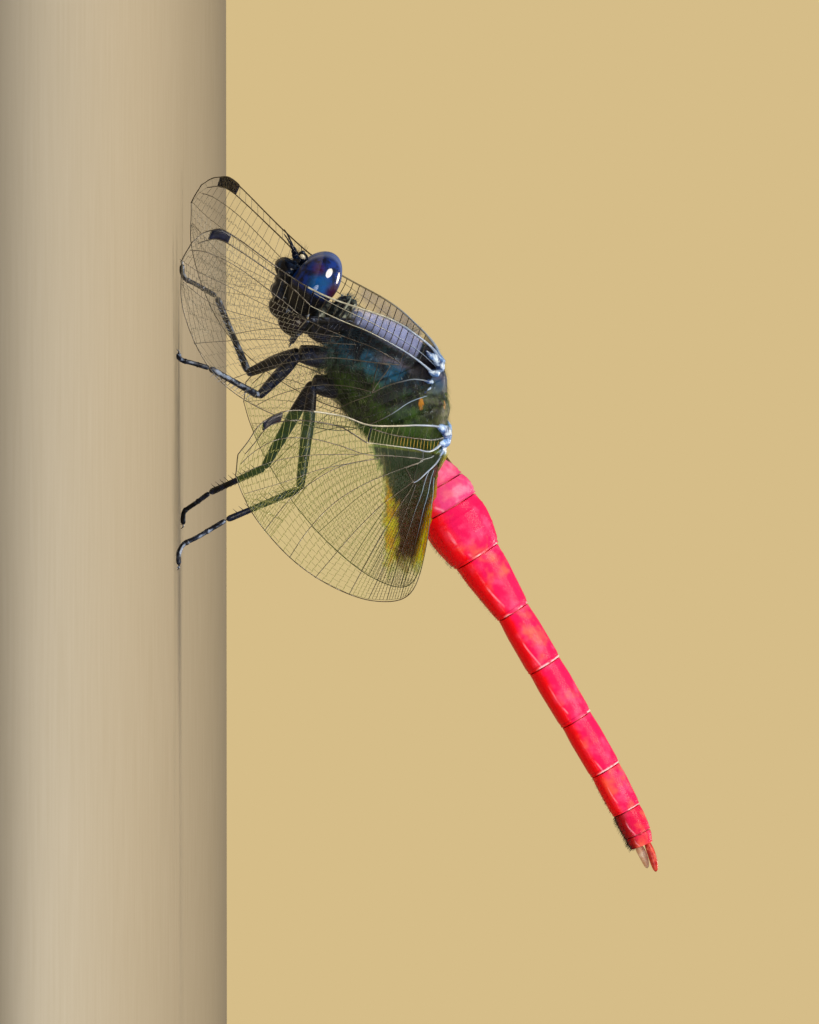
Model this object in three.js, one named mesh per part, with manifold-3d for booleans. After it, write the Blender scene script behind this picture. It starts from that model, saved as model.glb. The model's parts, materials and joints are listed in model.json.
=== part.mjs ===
// A crimson-tailed skimmer dragonfly, life size, standing with its wings drooped forward.
// Millimetres, +Z up. The head points to -Y and the animal's left side is +X.
// Design coordinates have their zero under the forewing roots; the last lines of the file
// centre the finished animal over the origin, with its feet on z = 0.
import * as THREE from 'three';
import { mergeVertices } from 'three/addons/utils/BufferGeometryUtils.js';
import Module from 'manifold-3d';

const wasm = await Module();
wasm.setup();

// ---------------------------------------------------------------- driving dimensions

const GAP = 0.06; // clearance between neighbouring pieces

// Head: a frame of its own, pitched down, with its origin midway between the eyes.
const HEAD = {
  centre: [-5.97, 9.1], // y, z
  pitch: THREE.MathUtils.degToRad(50),
  eyeOffset: 1.62, // centre of each eye from the middle plane
  eye: [1.86, 1.5, 2.25], // half width, half depth along the face, half height
  seam: 0.04, // half the slit between the two eyes
};

// Ellipsoids of the face: centre and half sizes as [sideways, forward, up] in the head frame.
const FACE = {
  cranium: { at: [0, 0.05, -0.5], half: [2.0, 1.45, 2.1] },
  vertex: { at: [0, 1.75, 0.55], half: [0.55, 0.45, 0.6] },
  frons: { at: [0, 1.85, -0.5], half: [1.5, 1.05, 0.72] },
  clypeus: { at: [0, 1.05, -1.65], half: [1.7, 1.2, 1.0] },
  labrum: { at: [0, 0.62, -2.75], half: [1.5, 0.95, 0.72] },
  labium: { at: [0, -0.55, -2.95], half: [1.75, 1.1, 0.9] },
};

const ANTENNA = { at: [0.72, 2.1, 0.55], reach: [1.5, 1.7, 0.75], radius: 0.25 };

// Thorax: outlines of its back and belly in the middle plane as [y, z], front to rear.
const THORAX = {
  back: [[-4.5, 12.7], [-3.3, 14.8], [-1.1, 17.3], [1.9, 18.15], [4.6, 18.3], [6.5, 17.7]],
  belly: [[-1.7, 9.5], [0.2, 9.35], [1.7, 10.35], [3.3, 11.6], [5.0, 12.9], [6.8, 15.0]],
  halfWidth: [1.9, 2.75, 3.1, 3.1, 2.75, 1.9],
  waist: 0.56, // how far down from back to belly the widest line runs
  square: 2.4, // exponent of the cross-section: 2 is an ellipse, more is boxier
};

const PROTHORAX = { at: [-3.75, 10.7], half: [1.5, 0.95, 1.75], pitch: THREE.MathUtils.degToRad(56) };
const NECK = { length: 1.5, radius: 0.62 };

// Abdomen: each row is a segment, with the size of its rear end. The first row is the front end.
const ABDOMEN_ROOT = [6.45, 16.55]; // y, z of the middle of the front end
const ABDOMEN = [
  { length: 0, pitch: 28, height: 2.9, width: 2.9 },
  { length: 1.3, pitch: 28, height: 3.95, width: 3.7 },
  { length: 1.65, pitch: 28, height: 4.3, width: 4.0, swelling: 0.03 },
  { length: 3.75, pitch: 31, height: 3.4, width: 3.3, swelling: 0.1 },
  { length: 4.45, pitch: 33, height: 2.35, width: 2.7 },
  { length: 4.15, pitch: 30.2, height: 2.4, width: 2.75 },
  { length: 4.2, pitch: 30.5, height: 2.25, width: 2.7 },
  { length: 3.9, pitch: 30, height: 2.15, width: 2.6 },
  { length: 3.05, pitch: 27.7, height: 2.0, width: 2.3 },
  { length: 1.75, pitch: 25, height: 1.9, width: 2.0 },
  { length: 0.95, pitch: 21, height: 1.5, width: 1.5 },
];
const RIM = 0.95; // each segment's front end against its full size
const SIDE_KEEL = 1 / 3; // height of the side keels, as a share of the segment's height

const CERCUS = { length: 1.9, radius: 0.27, apart: 0.36, rise: 0.4, pitch: 17 };
const EPIPROCT = { length: 1.5, radius: 0.3, drop: 0.22, pitch: 22 };

// Wings: edges as [along the span, back along the chord] from the front of the root.
const WING_THICKNESS = 0.5;
const WING_CELLS = [18, 4]; // divisions along the span and the chord
const FOREWING = {
  root: [1.85, -0.62, 17.45],
  droop: 29.9,
  sweep: 23.8,
  chordFall: 14.5, // slope of the chord toward the trailing edge
  tipLift: 1.55, // how far the tip bends up out of the straight line
  leading: [[0, 0], [1.3, -0.6], [4, -0.9], [8, -0.9], [17.2, 0.1], [29.3, 0.05], [32.2, 0.7], [34.1, 2.1]],
  trailing: [[-0.7, 1.8], [1.6, 3.2], [4.6, 5.6], [9, 7.5], [17.5, 8.7], [25, 8.4], [31.5, 6.2], [34.4, 3.6]],
};
const HINDWING = {
  root: [1.85, 3.9, 17.95],
  droop: 23.3,
  sweep: 7.4,
  chordFall: 9,
  tipLift: 0,
  leading: [[0, 0], [1.8, -0.3], [5, -0.25], [12.9, 0.15], [18.4, -0.25], [26.5, -0.15], [30.4, 1.0], [33.1, 3.1]],
  trailing: [[0.8, 3.1], [0.1, 8.0], [1.4, 11.0], [7, 11.7], [14.5, 11.0], [22, 9.4], [29, 6.9], [33, 4.5]],
};

// Legs: hip, knee, ankle and toe of each, on the left; the right legs list their own.
const COXA_RADIUS = 0.75;
const LEGS = {
  fore_left: { root: [0.75, -2.55, 9.9], hip: [1.6, -2.9, 8.9], knee: [3.45, -3.55, 12.2], ankle: [3.25, -3.75, 8.7], toe: [2.5, -2.1, 7.55] },
  fore_right: { root: [-0.75, -2.55, 9.9], hip: [-1.6, -2.9, 8.9], knee: [-3.45, -3.55, 12.2], ankle: [-3.25, -3.75, 8.7], toe: [-2.5, -2.1, 7.55] },
  mid_left: { root: [0.95, -0.9, 9.9], hip: [1.45, -1.25, 8.05], knee: [6.0, 1.15, 5.45], ankle: [9.5, -0.95, 2.2], toe: [10.9, -2.0, 0] },
  mid_right: { root: [-0.95, -0.9, 9.9], hip: [-1.45, -1.25, 8.05], knee: [-5.9, 0.5, 4.65], ankle: [-7.9, -4.5, 2.5], toe: [-8.9, -6.6, 0] },
  hind_left: { root: [1.0, 1.1, 10.6], hip: [1.6, 0.75, 9.0], knee: [5.3, 7.4, 8.15], ankle: [9.8, 9.1, 3.3], toe: [11.4, 12.0, 0] },
  hind_right: { root: [-1.0, 1.1, 10.6], hip: [-1.6, 0.75, 9.0], knee: [-5.8, 6.85, 5.7], ankle: [-10.4, 8.9, 2.0], toe: [-12.6, 11.2, 0] },
};
const LEG_RADII = { hip: 0.48, knee: 0.34, shin: 0.27, foot: 0.26 };
const FOOT_SINK = 0.2; // height of a lying foot's axis, which leaves a flat under it
const FOOT_LYING = 0.4; // share of a standing foot that lies along the ground

// ---------------------------------------------------------------- finishes

/** One surface: colour, roughness and metalness. */
const finish = (color, roughness, metalness = 0) =>
  new THREE.MeshStandardMaterial({ color, roughness, metalness });

const FINISH = {
  eye: finish('#1c3f86', 0.15),
  face: finish('#1b1a26', 0.45),
  mouth: finish('#3a2a2e', 0.5),
  thorax: finish('#28382f', 0.6),
  abdomen: finish('#d3203a', 0.45),
  tail: finish('#8e1526', 0.4),
  wing: finish('#c8c6a8', 0.3),
  leg: finish('#22242f', 0.4),
};

// ---------------------------------------------------------------- solids

/** The geometry with positions only, shared vertices merged and faces turned outward. */
function closed(geometry) {
  const copy = geometry.clone();
  copy.deleteAttribute('normal');
  copy.deleteAttribute('uv');
  const merged = mergeVertices(copy, 1e-4);
  const index = merged.index.array;
  const [a, b, c] = [0, 1, 2].map(() => new THREE.Vector3());
  let volume = 0;
  for (let i = 0; i < index.length; i += 3) {
    a.fromBufferAttribute(merged.attributes.position, index[i]);
    b.fromBufferAttribute(merged.attributes.position, index[i + 1]);
    c.fromBufferAttribute(merged.attributes.position, index[i + 2]);
    volume += a.dot(b.cross(c));
  }
  if (volume < 0) {
    for (let i = 0; i < index.length; i += 3) [index[i], index[i + 1]] = [index[i + 1], index[i]];
  }
  merged.computeVertexNormals();
  return merged;
}

/** A geometry as a manifold solid. */
function solid(geometry) {
  const mesh = closed(geometry);
  return new wasm.Manifold(new wasm.Mesh({
    numProp: 3,
    vertProperties: new Float32Array(mesh.attributes.position.array),
    triVerts: new Uint32Array(mesh.index.array),
  }));
}

/** A manifold solid as a geometry. */
function geometryOf(body) {
  const mesh = body.getMesh();
  const geometry = new THREE.BufferGeometry();
  geometry.setAttribute('position', new THREE.BufferAttribute(mesh.vertProperties, 3));
  geometry.setIndex(new THREE.BufferAttribute(mesh.triVerts, 1));
  geometry.computeVertexNormals();
  return geometry;
}

/** The geometry grown outward by a distance. */
function swollen(geometry, distance) {
  const grown = closed(geometry);
  const { position, normal } = grown.attributes;
  for (let i = 0; i < position.count; i += 1) {
    position.setXYZ(
      i,
      position.getX(i) + normal.getX(i) * distance,
      position.getY(i) + normal.getY(i) * distance,
      position.getZ(i) + normal.getZ(i) * distance,
    );
  }
  return grown;
}

/** The geometry cut back wherever it comes nearer than the gap to a neighbour, without stray crumbs. */
function clearOf(geometry, ...neighbours) {
  let body = solid(geometry);
  for (const neighbour of neighbours) body = body.subtract(solid(swollen(neighbour, GAP)));
  const [largest] = body.decompose().sort((a, b) => b.volume() - a.volume());
  return geometryOf(largest);
}

/** Several overlapping geometries joined into one. */
function joined(...geometries) {
  return geometryOf(geometries.map(solid).reduce((sum, body) => sum.add(body)));
}

/** Everything of the geometry above the ground, which leaves a flat where it crossed it. */
function standing(geometry) {
  const ground = new THREE.BoxGeometry(80, 80, 10).translate(0, 0, -5);
  return geometryOf(solid(geometry).subtract(solid(ground)));
}

/** A base geometry with each vertex moved to place(share along its axis, angle round it, 0 or 1 out). */
function wrapped(base, along, place) {
  const { position } = base.attributes;
  const vertex = new THREE.Vector3();
  for (let i = 0; i < position.count; i += 1) {
    vertex.fromBufferAttribute(position, i);
    const out = Math.hypot(vertex.x, vertex.z) > 0.5 ? 1 : 0;
    position.setXYZ(i, ...place(along(vertex), Math.atan2(vertex.x, vertex.z), out));
  }
  return closed(base);
}

/** A tube with flat ends, shaped by place(t, angle, out). */
const tube = (sides, steps, place) =>
  wrapped(new THREE.CylinderGeometry(1, 1, 1, sides, steps), (vertex) => vertex.y + 0.5, place);

/** A closed pod with a pole at each end, shaped by place(t, angle). */
const pod = (sides, steps, place) =>
  wrapped(new THREE.SphereGeometry(1, sides, steps), (vertex) => Math.acos(vertex.y) / Math.PI, place);

/** A number with its sign, raised to a power. */
const signedPower = (value, power) => Math.sign(value) * Math.abs(value) ** power;

/** A row of numbers read at a share of its length, eased between neighbours. */
function along(row, t) {
  const curve = new THREE.SplineCurve(row.map((value, i) => new THREE.Vector2(i, value)));
  return curve.getPoint(t).y;
}

/** A limb: a tapering round tube through the points, with `radii` read along it. */
function limb(points, radii, sides = 8, steps = 4) {
  const path = new THREE.CatmullRomCurve3(points.map((p) => new THREE.Vector3(...p)), false, 'centripetal');
  const side = new THREE.Vector3();
  const lift = new THREE.Vector3();
  return tube(sides, steps, (t, angle, out) => {
    const tangent = path.getTangentAt(t);
    side.crossVectors(tangent, new THREE.Vector3(0, 0, 1)).normalize();
    lift.crossVectors(side, tangent).normalize();
    const radius = along(radii, t) * out;
    const point = path.getPointAt(t);
    point.addScaledVector(side, Math.sin(angle) * radius).addScaledVector(lift, Math.cos(angle) * radius);
    return point.toArray();
  });
}

// ---------------------------------------------------------------- head

/** A geometry given as [sideways, forward, up] in the head frame, put in its place. */
function inHead(geometry) {
  const forward = new THREE.Vector3(0, -Math.cos(HEAD.pitch), -Math.sin(HEAD.pitch));
  const up = new THREE.Vector3(0, -Math.sin(HEAD.pitch), Math.cos(HEAD.pitch));
  const frame = new THREE.Matrix4().makeBasis(new THREE.Vector3(1, 0, 0), forward, up);
  frame.setPosition(0, ...HEAD.centre);
  return geometry.applyMatrix4(frame);
}

/** An ellipsoid in the head frame. */
const ellipsoid = ({ at, half }, sides = 14, steps = 8) =>
  inHead(new THREE.SphereGeometry(1, sides, steps).rotateX(Math.PI / 2).scale(...half).translate(...at));

/** One compound eye, flattened where it meets the other along the middle seam. */
function eye(side) {
  const ball = ellipsoid({ at: [side * HEAD.eyeOffset, 0, 0], half: HEAD.eye }, 20, 11);
  const other = new THREE.BoxGeometry(6, 12, 12).translate(side * (HEAD.seam - 3), HEAD.centre[0], HEAD.centre[1]);
  return geometryOf(solid(ball).subtract(solid(other)));
}

/** One antenna, from its socket beside the vertex. */
function antenna(side) {
  const [out, forward, up] = ANTENNA.at;
  const [reachOut, reachForward, reachUp] = ANTENNA.reach;
  const path = [0, 0.5, 1].map((t) => [side * (out + reachOut * t), forward + reachForward * t, up + reachUp * t]);
  return inHead(limb(path, [ANTENNA.radius, ANTENNA.radius], 8, 2));
}

// ---------------------------------------------------------------- thorax

/** The front ring of the thorax, with the neck that carries the head. */
function prothorax() {
  const { at, half, pitch } = PROTHORAX;
  const collar = new THREE.SphereGeometry(1, 14, 8).scale(...half);
  const neck = new THREE.CylinderGeometry(NECK.radius, NECK.radius, NECK.length, 12).translate(0, -NECK.length / 2, 0);
  return joined(
    collar.rotateX(pitch).translate(0, ...at),
    neck.rotateX(pitch).translate(0, ...at),
  );
}

/** The main body of the thorax, which carries the wings, the middle legs and the hind legs. */
function thorax() {
  const [back, belly] = [THORAX.back, THORAX.belly].map(
    (points) => new THREE.SplineCurve(points.map((p) => new THREE.Vector2(...p))),
  );
  return pod(20, 12, (t, angle) => {
    const [top, bottom] = [back.getPoint(t), belly.getPoint(t)];
    const middle = top.clone().lerp(bottom, THORAX.waist);
    const fullness = Math.sin(Math.PI * t) ** 0.42;
    const power = 2 / THORAX.square;
    const across = signedPower(Math.sin(angle), power) * fullness;
    const upright = signedPower(Math.cos(angle), power) * fullness;
    const point = middle.clone().lerp(upright > 0 ? top : bottom, Math.abs(upright));
    return [across * along(THORAX.halfWidth, t), point.x, point.y];
  });
}

// ---------------------------------------------------------------- abdomen

/** The joints of the abdomen: middle point, direction and size at the end of each segment. */
function abdomenJoints() {
  const point = new THREE.Vector2(...ABDOMEN_ROOT);
  return ABDOMEN.map((row, i) => {
    const pitch = THREE.MathUtils.degToRad(row.pitch);
    point.add(new THREE.Vector2(Math.cos(pitch), Math.sin(pitch)).multiplyScalar(row.length));
    const next = ABDOMEN[i + 1] ?? row;
    const lean = THREE.MathUtils.degToRad((row.pitch + next.pitch) / 2);
    const heading = new THREE.Vector2(Math.cos(lean), Math.sin(lean));
    return { middle: point.clone(), heading, height: row.height, width: row.width };
  });
}

/** One segment: a tent-shaped section with a keel along each side, wider at its rear rim. */
function abdomenSegment(front, rear, swelling) {
  return tube(16, 3, (t, angle, out) => {
    const inset = t === 0 ? GAP / 2 : t === 1 ? -GAP / 2 : 0;
    const heading = front.heading.clone().lerp(rear.heading, t).normalize();
    const upward = new THREE.Vector2(-heading.y, heading.x);
    const size = (RIM + (1 - RIM) * Math.min(1, 3 * t)) * (1 + swelling * Math.sin(Math.PI * t));
    const height = THREE.MathUtils.lerp(front.height, rear.height, t) * size;
    const width = THREE.MathUtils.lerp(front.width, rear.width, t) * size;
    const across = Math.sin(angle) * out;
    const upright = Math.cos(angle) * out;
    const rise = upright > 0 ? signedPower(upright, 1.08) * (1 - SIDE_KEEL) : signedPower(upright, 0.8) * SIDE_KEEL;
    const point = front.middle.clone().lerp(rear.middle, t);
    point.addScaledVector(heading, inset).addScaledVector(upward, (rise - 0.5 + SIDE_KEEL) * height);
    return [across * width / 2, point.x, point.y];
  });
}

/** A tail appendage: a spindle from a point on the rear end of the abdomen. */
function appendage({ length, radius, pitch }, offset, lift) {
  const tail = abdomenJoints().at(-1);
  const slope = THREE.MathUtils.degToRad(pitch);
  const start = [offset, tail.middle.x - tail.heading.y * lift, tail.middle.y + tail.heading.x * lift];
  const points = [-0.15, 0.5, 1].map((t) => [
    start[0], start[1] + Math.cos(slope) * length * t, start[2] + Math.sin(slope) * length * t,
  ]);
  return limb(points, [radius * 0.8, radius, radius * 0.5], 8, 4);
}

// ---------------------------------------------------------------- wings

/** One wing: a slab between its leading and trailing edges, set at its droop, sweep and tilt. */
function wing(spec, side) {
  const [droop, sweep, fall] = [spec.droop, spec.sweep, spec.chordFall].map(THREE.MathUtils.degToRad);
  const span = new THREE.Vector3(
    Math.cos(droop) * Math.cos(sweep), -Math.cos(droop) * Math.sin(sweep), -Math.sin(droop),
  );
  const chord = new THREE.Vector3(0, Math.cos(fall), -Math.sin(fall));
  chord.addScaledVector(span, -chord.dot(span)).normalize();
  const normal = new THREE.Vector3().crossVectors(span, chord);
  const [leading, trailing] = [spec.leading, spec.trailing].map(
    (points) => new THREE.SplineCurve(points.map((p) => new THREE.Vector2(...p))),
  );
  const reach = spec.leading.at(-1)[0];
  const slab = new THREE.BoxGeometry(1, 1, 1, ...WING_CELLS, 1);
  const { position } = slab.attributes;
  for (let i = 0; i < position.count; i += 1) {
    const t = position.getX(i) + 0.5;
    const place = leading.getPoint(t).lerp(trailing.getPoint(t), position.getY(i) + 0.5);
    const point = new THREE.Vector3(...spec.root)
      .addScaledVector(span, place.x)
      .addScaledVector(chord, place.y)
      .addScaledVector(normal, position.getZ(i) * WING_THICKNESS);
    point.z += spec.tipLift * (place.x / reach) ** 3;
    position.setXYZ(i, side * point.x, point.y, point.z);
  }
  return closed(slab);
}

// ---------------------------------------------------------------- legs

/** The point at a share of the way between two others. */
const between = (from, to, t) => from.map((value, i) => value + (to[i] - value) * t);

/** A foot: a free one is straight, and a standing one bends to lie along the ground. */
function foot({ ankle, toe }) {
  const radii = [LEG_RADII.foot, LEG_RADII.foot];
  if (toe[2] > 0) return limb([ankle, toe], radii, 7, 2);
  const lying = [toe[0], toe[1], FOOT_SINK];
  const heel = between(ankle, lying, 1 - FOOT_LYING);
  heel[2] = FOOT_SINK + 0.08;
  return standing(limb([ankle, between(ankle, heel, 0.6), heel, lying], radii, 7, 5));
}

// ---------------------------------------------------------------- assembly

const group = new THREE.Group();

/** Adds a geometry to the group as a named mesh. */
function add(name, geometry, material) {
  const mesh = new THREE.Mesh(geometry, material);
  mesh.name = name;
  group.add(mesh);
  return geometry;
}

const eyes = [eye(1), eye(-1)];
const headShell = joined(...['cranium', 'vertex', 'frons', 'clypeus'].map((part) => ellipsoid(FACE[part])));
const head = add('head', clearOf(headShell, ...eyes), FINISH.face);
add('eye_left', eyes[0], FINISH.eye);
add('eye_right', eyes[1], FINISH.eye);
const labrum = add('labrum', clearOf(ellipsoid(FACE.labrum), headShell, ...eyes), FINISH.mouth);
add('labium', clearOf(ellipsoid(FACE.labium), headShell, labrum, ...eyes), FINISH.mouth);
add('antenna_left', clearOf(antenna(1), headShell, ...eyes), FINISH.face);
add('antenna_right', clearOf(antenna(-1), headShell, ...eyes), FINISH.face);

const collar = add('prothorax', clearOf(prothorax(), headShell, ...eyes), FINISH.thorax);
const trunk = add('thorax', clearOf(thorax(), collar), FINISH.thorax);

const joints = abdomenJoints();
for (let i = 1; i < joints.length; i += 1) {
  const segment = abdomenSegment(joints[i - 1], joints[i], ABDOMEN[i].swelling ?? 0);
  add(`abdomen_${i}`, i === 1 ? clearOf(segment, trunk) : segment, FINISH.abdomen);
}
const tailEnd = abdomenSegment(joints.at(-2), joints.at(-1), 0);
add('cercus_left', clearOf(appendage(CERCUS, CERCUS.apart, CERCUS.rise), tailEnd), FINISH.tail);
add('cercus_right', clearOf(appendage(CERCUS, -CERCUS.apart, CERCUS.rise), tailEnd), FINISH.tail);
add('epiproct', clearOf(appendage(EPIPROCT, 0, -EPIPROCT.drop), tailEnd), FINISH.tail);

for (const [name, spec] of Object.entries({ forewing: FOREWING, hindwing: HINDWING })) {
  add(`${name}_left`, clearOf(wing(spec, 1), trunk), FINISH.wing);
  add(`${name}_right`, clearOf(wing(spec, -1), trunk), FINISH.wing);
}

for (const [name, leg] of Object.entries(LEGS)) {
  const { hip, knee, shin } = LEG_RADII;
  const coxa = clearOf(limb([leg.root, leg.hip], [COXA_RADIUS, COXA_RADIUS * 0.8], 10, 2), trunk, collar);
  const femur = clearOf(limb([leg.hip, leg.knee], [hip, hip, knee], 9, 3), coxa);
  const tibia = clearOf(limb([leg.knee, leg.ankle], [shin, shin], 7, 2), femur);
  add(`${name}_coxa`, coxa, FINISH.leg);
  add(`${name}_femur`, femur, FINISH.leg);
  add(`${name}_tibia`, tibia, FINISH.leg);
  add(`${name}_tarsus`, clearOf(foot(leg), tibia), FINISH.leg);
}

const bounds = new THREE.Box3().setFromObject(group);
const centre = bounds.getCenter(new THREE.Vector3());
group.position.set(-centre.x, -centre.y, -bounds.min.z);

export default group;
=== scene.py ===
"""A life-size museum model of a crimson-tailed dragonfly at rest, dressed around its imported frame.

All shapes are worked out in millimetres in the maker's own frame, x to the animal's left, y toward
its tail and z up, and are turned into metres in the part's frame when a piece is finished.
"""

import json
import logging
import math
import random
from dataclasses import dataclass, field
from enum import Enum
from typing import Callable, Iterable, Sequence

import bmesh
import bpy
from mathutils import Matrix, Vector, noise

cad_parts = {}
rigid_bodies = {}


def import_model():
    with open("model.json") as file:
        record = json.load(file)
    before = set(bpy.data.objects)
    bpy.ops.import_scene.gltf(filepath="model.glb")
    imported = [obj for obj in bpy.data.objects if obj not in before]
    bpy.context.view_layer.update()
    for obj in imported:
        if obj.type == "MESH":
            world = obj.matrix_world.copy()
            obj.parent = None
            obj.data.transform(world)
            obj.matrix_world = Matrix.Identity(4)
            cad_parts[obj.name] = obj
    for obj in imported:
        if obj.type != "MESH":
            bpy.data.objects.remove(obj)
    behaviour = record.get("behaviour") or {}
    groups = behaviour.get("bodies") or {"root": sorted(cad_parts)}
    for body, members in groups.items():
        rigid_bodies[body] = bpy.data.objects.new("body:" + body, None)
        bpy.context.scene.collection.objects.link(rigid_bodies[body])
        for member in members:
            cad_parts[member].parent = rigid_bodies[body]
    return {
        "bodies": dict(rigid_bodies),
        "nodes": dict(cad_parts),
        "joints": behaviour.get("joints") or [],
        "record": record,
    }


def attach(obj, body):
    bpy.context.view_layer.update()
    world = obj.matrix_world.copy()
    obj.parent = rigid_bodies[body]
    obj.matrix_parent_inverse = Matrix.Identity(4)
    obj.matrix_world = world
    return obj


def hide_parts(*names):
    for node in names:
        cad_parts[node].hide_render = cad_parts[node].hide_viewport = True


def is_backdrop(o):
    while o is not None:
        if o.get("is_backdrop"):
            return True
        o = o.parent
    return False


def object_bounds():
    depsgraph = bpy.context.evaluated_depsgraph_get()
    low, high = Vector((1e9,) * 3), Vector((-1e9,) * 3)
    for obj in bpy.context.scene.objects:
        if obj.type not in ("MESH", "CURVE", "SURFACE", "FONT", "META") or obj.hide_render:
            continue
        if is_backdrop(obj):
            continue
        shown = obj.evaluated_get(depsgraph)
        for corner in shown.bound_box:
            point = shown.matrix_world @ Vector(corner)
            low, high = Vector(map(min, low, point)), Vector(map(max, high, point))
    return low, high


MM = 0.001
SHIFT = Vector((0.0, -11.0437, 0.0))  # the part is centred on the floor: maker's zero to the frame's
TURN = 2 * math.pi
SHELL = "Shell"  # UV map: share round and share along a shell
PLAN = "Plan"  # UV map of a wing: along its span and back along its chord
PLAN_SCALE = 40.0  # millimetres to one unit of the plan
PLAN_RISE = 2.0  # millimetres that the plan starts in front of the leading edge
BAKE = "OFBake"  # UV map of a coat: each tuft a small patch at its root's place on the skin
TUFT = 0.003  # side of a tuft's patch on that map

Point = Sequence[float]
Place = Callable[[float, float], Vector]
Shape = bmesh.types.BMesh
Material = bpy.types.Material
Socket = bpy.types.NodeSocket
Value = Socket | float
Colour = Socket | str
log = logging.getLogger("dragonfly")


class Side(Enum):
    """The two sides of the animal, with the sign of x on each."""

    LEFT = 1
    RIGHT = -1

    @property
    def label(self) -> str:
        """The side's word in the names of pieces."""
        return self.name.lower()


# ------------ curves


def catmull(points: Sequence[Point], t: float) -> Vector:
    """A smooth curve through points, each span taking an equal share.

    Args:
        points: The points that the curve passes through.
        t: The share of the spans gone by, from 0 to 1.

    Returns:
        The point at that share.
    """
    last = len(points) - 1
    place = min(max(t, 0.0), 1.0) * last
    i = min(int(place), last - 1)
    w = place - i
    p0, p1 = Vector(points[max(i - 1, 0)]), Vector(points[i])
    p2, p3 = Vector(points[i + 1]), Vector(points[min(i + 2, last)])
    m1, m2 = (p2 - p0) * 0.5, (p3 - p1) * 0.5
    return (2 * p1 - 2 * p2 + m1 + m2) * w**3 + (-3 * p1 + 3 * p2 - 2 * m1 - m2) * w**2 + m1 * w + p1


def eased(row: Sequence[float], t: float) -> float:
    """A row of numbers read at a share of its length, eased between neighbours."""
    return catmull([(value, 0.0) for value in row], t).x


@dataclass
class Course:
    """A smooth line through points, read by the share of its length."""

    points: Sequence[Point]
    steps: int = 64
    _ticks: list[tuple[float, Vector]] = field(default_factory=list)

    def __post_init__(self) -> None:
        """Measures the line once."""
        gone, last = 0.0, catmull(self.points, 0.0)
        self._ticks.append((gone, last))
        for i in range(1, self.steps + 1):
            here = catmull(self.points, i / self.steps)
            gone += (here - last).length
            self._ticks.append((gone, here))
            last = here

    @property
    def length(self) -> float:
        """The length of the whole line."""
        return self._ticks[-1][0]

    def at(self, share: float) -> Vector:
        """The point at a share of the line's length.

        Args:
            share: The share, from 0 to 1.

        Returns:
            The point there.
        """
        want = min(max(share, 0.0), 1.0) * self.length
        low, high = 0, len(self._ticks) - 1
        while high - low > 1:
            half = (low + high) // 2
            low, high = (half, high) if self._ticks[half][0] <= want else (low, half)
        (a, p), (b, q) = self._ticks[low], self._ticks[high]
        return p.lerp(q, (want - a) / (b - a) if b > a else 0.0)

    def part(self, first: float, last: float) -> "Course":
        """The stretch of the line between two shares."""
        return Course([self.at(first + (last - first) * i / 8) for i in range(9)], 32)


def signed_power(value: float, power: float) -> float:
    """A number with its sign, raised to a power."""
    return math.copysign(abs(value) ** power, value)


def ridge(value: float, centre: float, width: float) -> float:
    """A smooth bell of height 1 round a centre, of about that half width."""
    return math.exp(-(((value - centre) / width) ** 2))


def smoothstep(value: float, low: float, high: float) -> float:
    """A smooth rise from 0 at low to 1 at high."""
    t = min(max((value - low) / (high - low), 0.0), 1.0)
    return t * t * (3 - 2 * t)


def bearing(angle: float, tall: float) -> Vector:
    """The direction at an angle round and a height on a ball of radius 1."""
    low = math.sqrt(1 - tall * tall)
    return Vector((low * math.cos(angle), low * math.sin(angle), tall))


# ------------ meshes


def skin(shape: Shape, across: int, along: int, place: Place) -> None:
    """A grid wrapped to a surface, with its shares kept in the shell's UV map.

    Args:
        shape: The mesh that takes the grid.
        across: Cells round or across the surface.
        along: Cells along it.
        place: The surface: share across and share along to a point.
    """
    made = bmesh.ops.create_grid(shape, x_segments=across, y_segments=along, size=0.5)["verts"]
    layer = shape.loops.layers.uv.get(SHELL) or shape.loops.layers.uv.new(SHELL)
    shares = {vert: (vert.co.x + 0.5, vert.co.y + 0.5) for vert in made}
    for face in {face for vert in made for face in vert.link_faces}:
        for corner in face.loops:
            corner[layer].uv = shares[corner.vert]
    for vert, (s, t) in shares.items():
        vert.co = place(s, t)


def pod(middle: Course, radii: Sequence[float], squash: float = 1.0, ends: float = 0.12) -> Place:
    """The surface of a round-ended limb.

    Args:
        middle: The limb's middle line, in space.
        radii: Its radius, read along the line.
        squash: Height over width of its section.
        ends: The share of the length taken by each rounded end.

    Returns:
        The surface, as a place for skin().
    """

    def place(s: float, t: float) -> Vector:
        """A point of the limb's surface.

        Args:
            s: The share round.
            t: The share along.

        Returns:
            The point.
        """
        here = middle.at(t)
        heading = (middle.at(min(t + 0.02, 1)) - middle.at(max(t - 0.02, 0))).normalized()
        side = heading.cross(Vector((0, 0, 1)))
        side = side.normalized() if side.length > 1e-3 else Vector((1, 0, 0))
        lift = side.cross(heading)
        near = min(t, 1 - t) / ends
        cap = math.sqrt(max(1 - (1 - near) ** 2, 0)) if near < 1 else 1.0
        radius = eased(radii, t) * cap
        return here + side * math.cos(TURN * s) * radius + lift * math.sin(TURN * s) * radius * squash

    return place


def ball(at: Point, half: Point, frame: Matrix) -> Place:
    """The surface of an ellipsoid.

    Args:
        at: Its middle, in the frame.
        half: Its half sizes, in the frame.
        frame: The frame that it is given in.

    Returns:
        The surface, as a place for skin().
    """

    def place(s: float, t: float) -> Vector:
        """A point of the ellipsoid's surface.

        Args:
            s: The share round.
            t: The share from bottom to top.

        Returns:
            The point.
        """
        low = math.sin(math.pi * t)
        x = at[0] + half[0] * low * math.cos(TURN * s)
        y = at[1] + half[1] * low * math.sin(TURN * s)
        z = at[2] - half[2] * math.cos(math.pi * t)
        return frame @ Vector((x, y, z))

    return place


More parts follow.
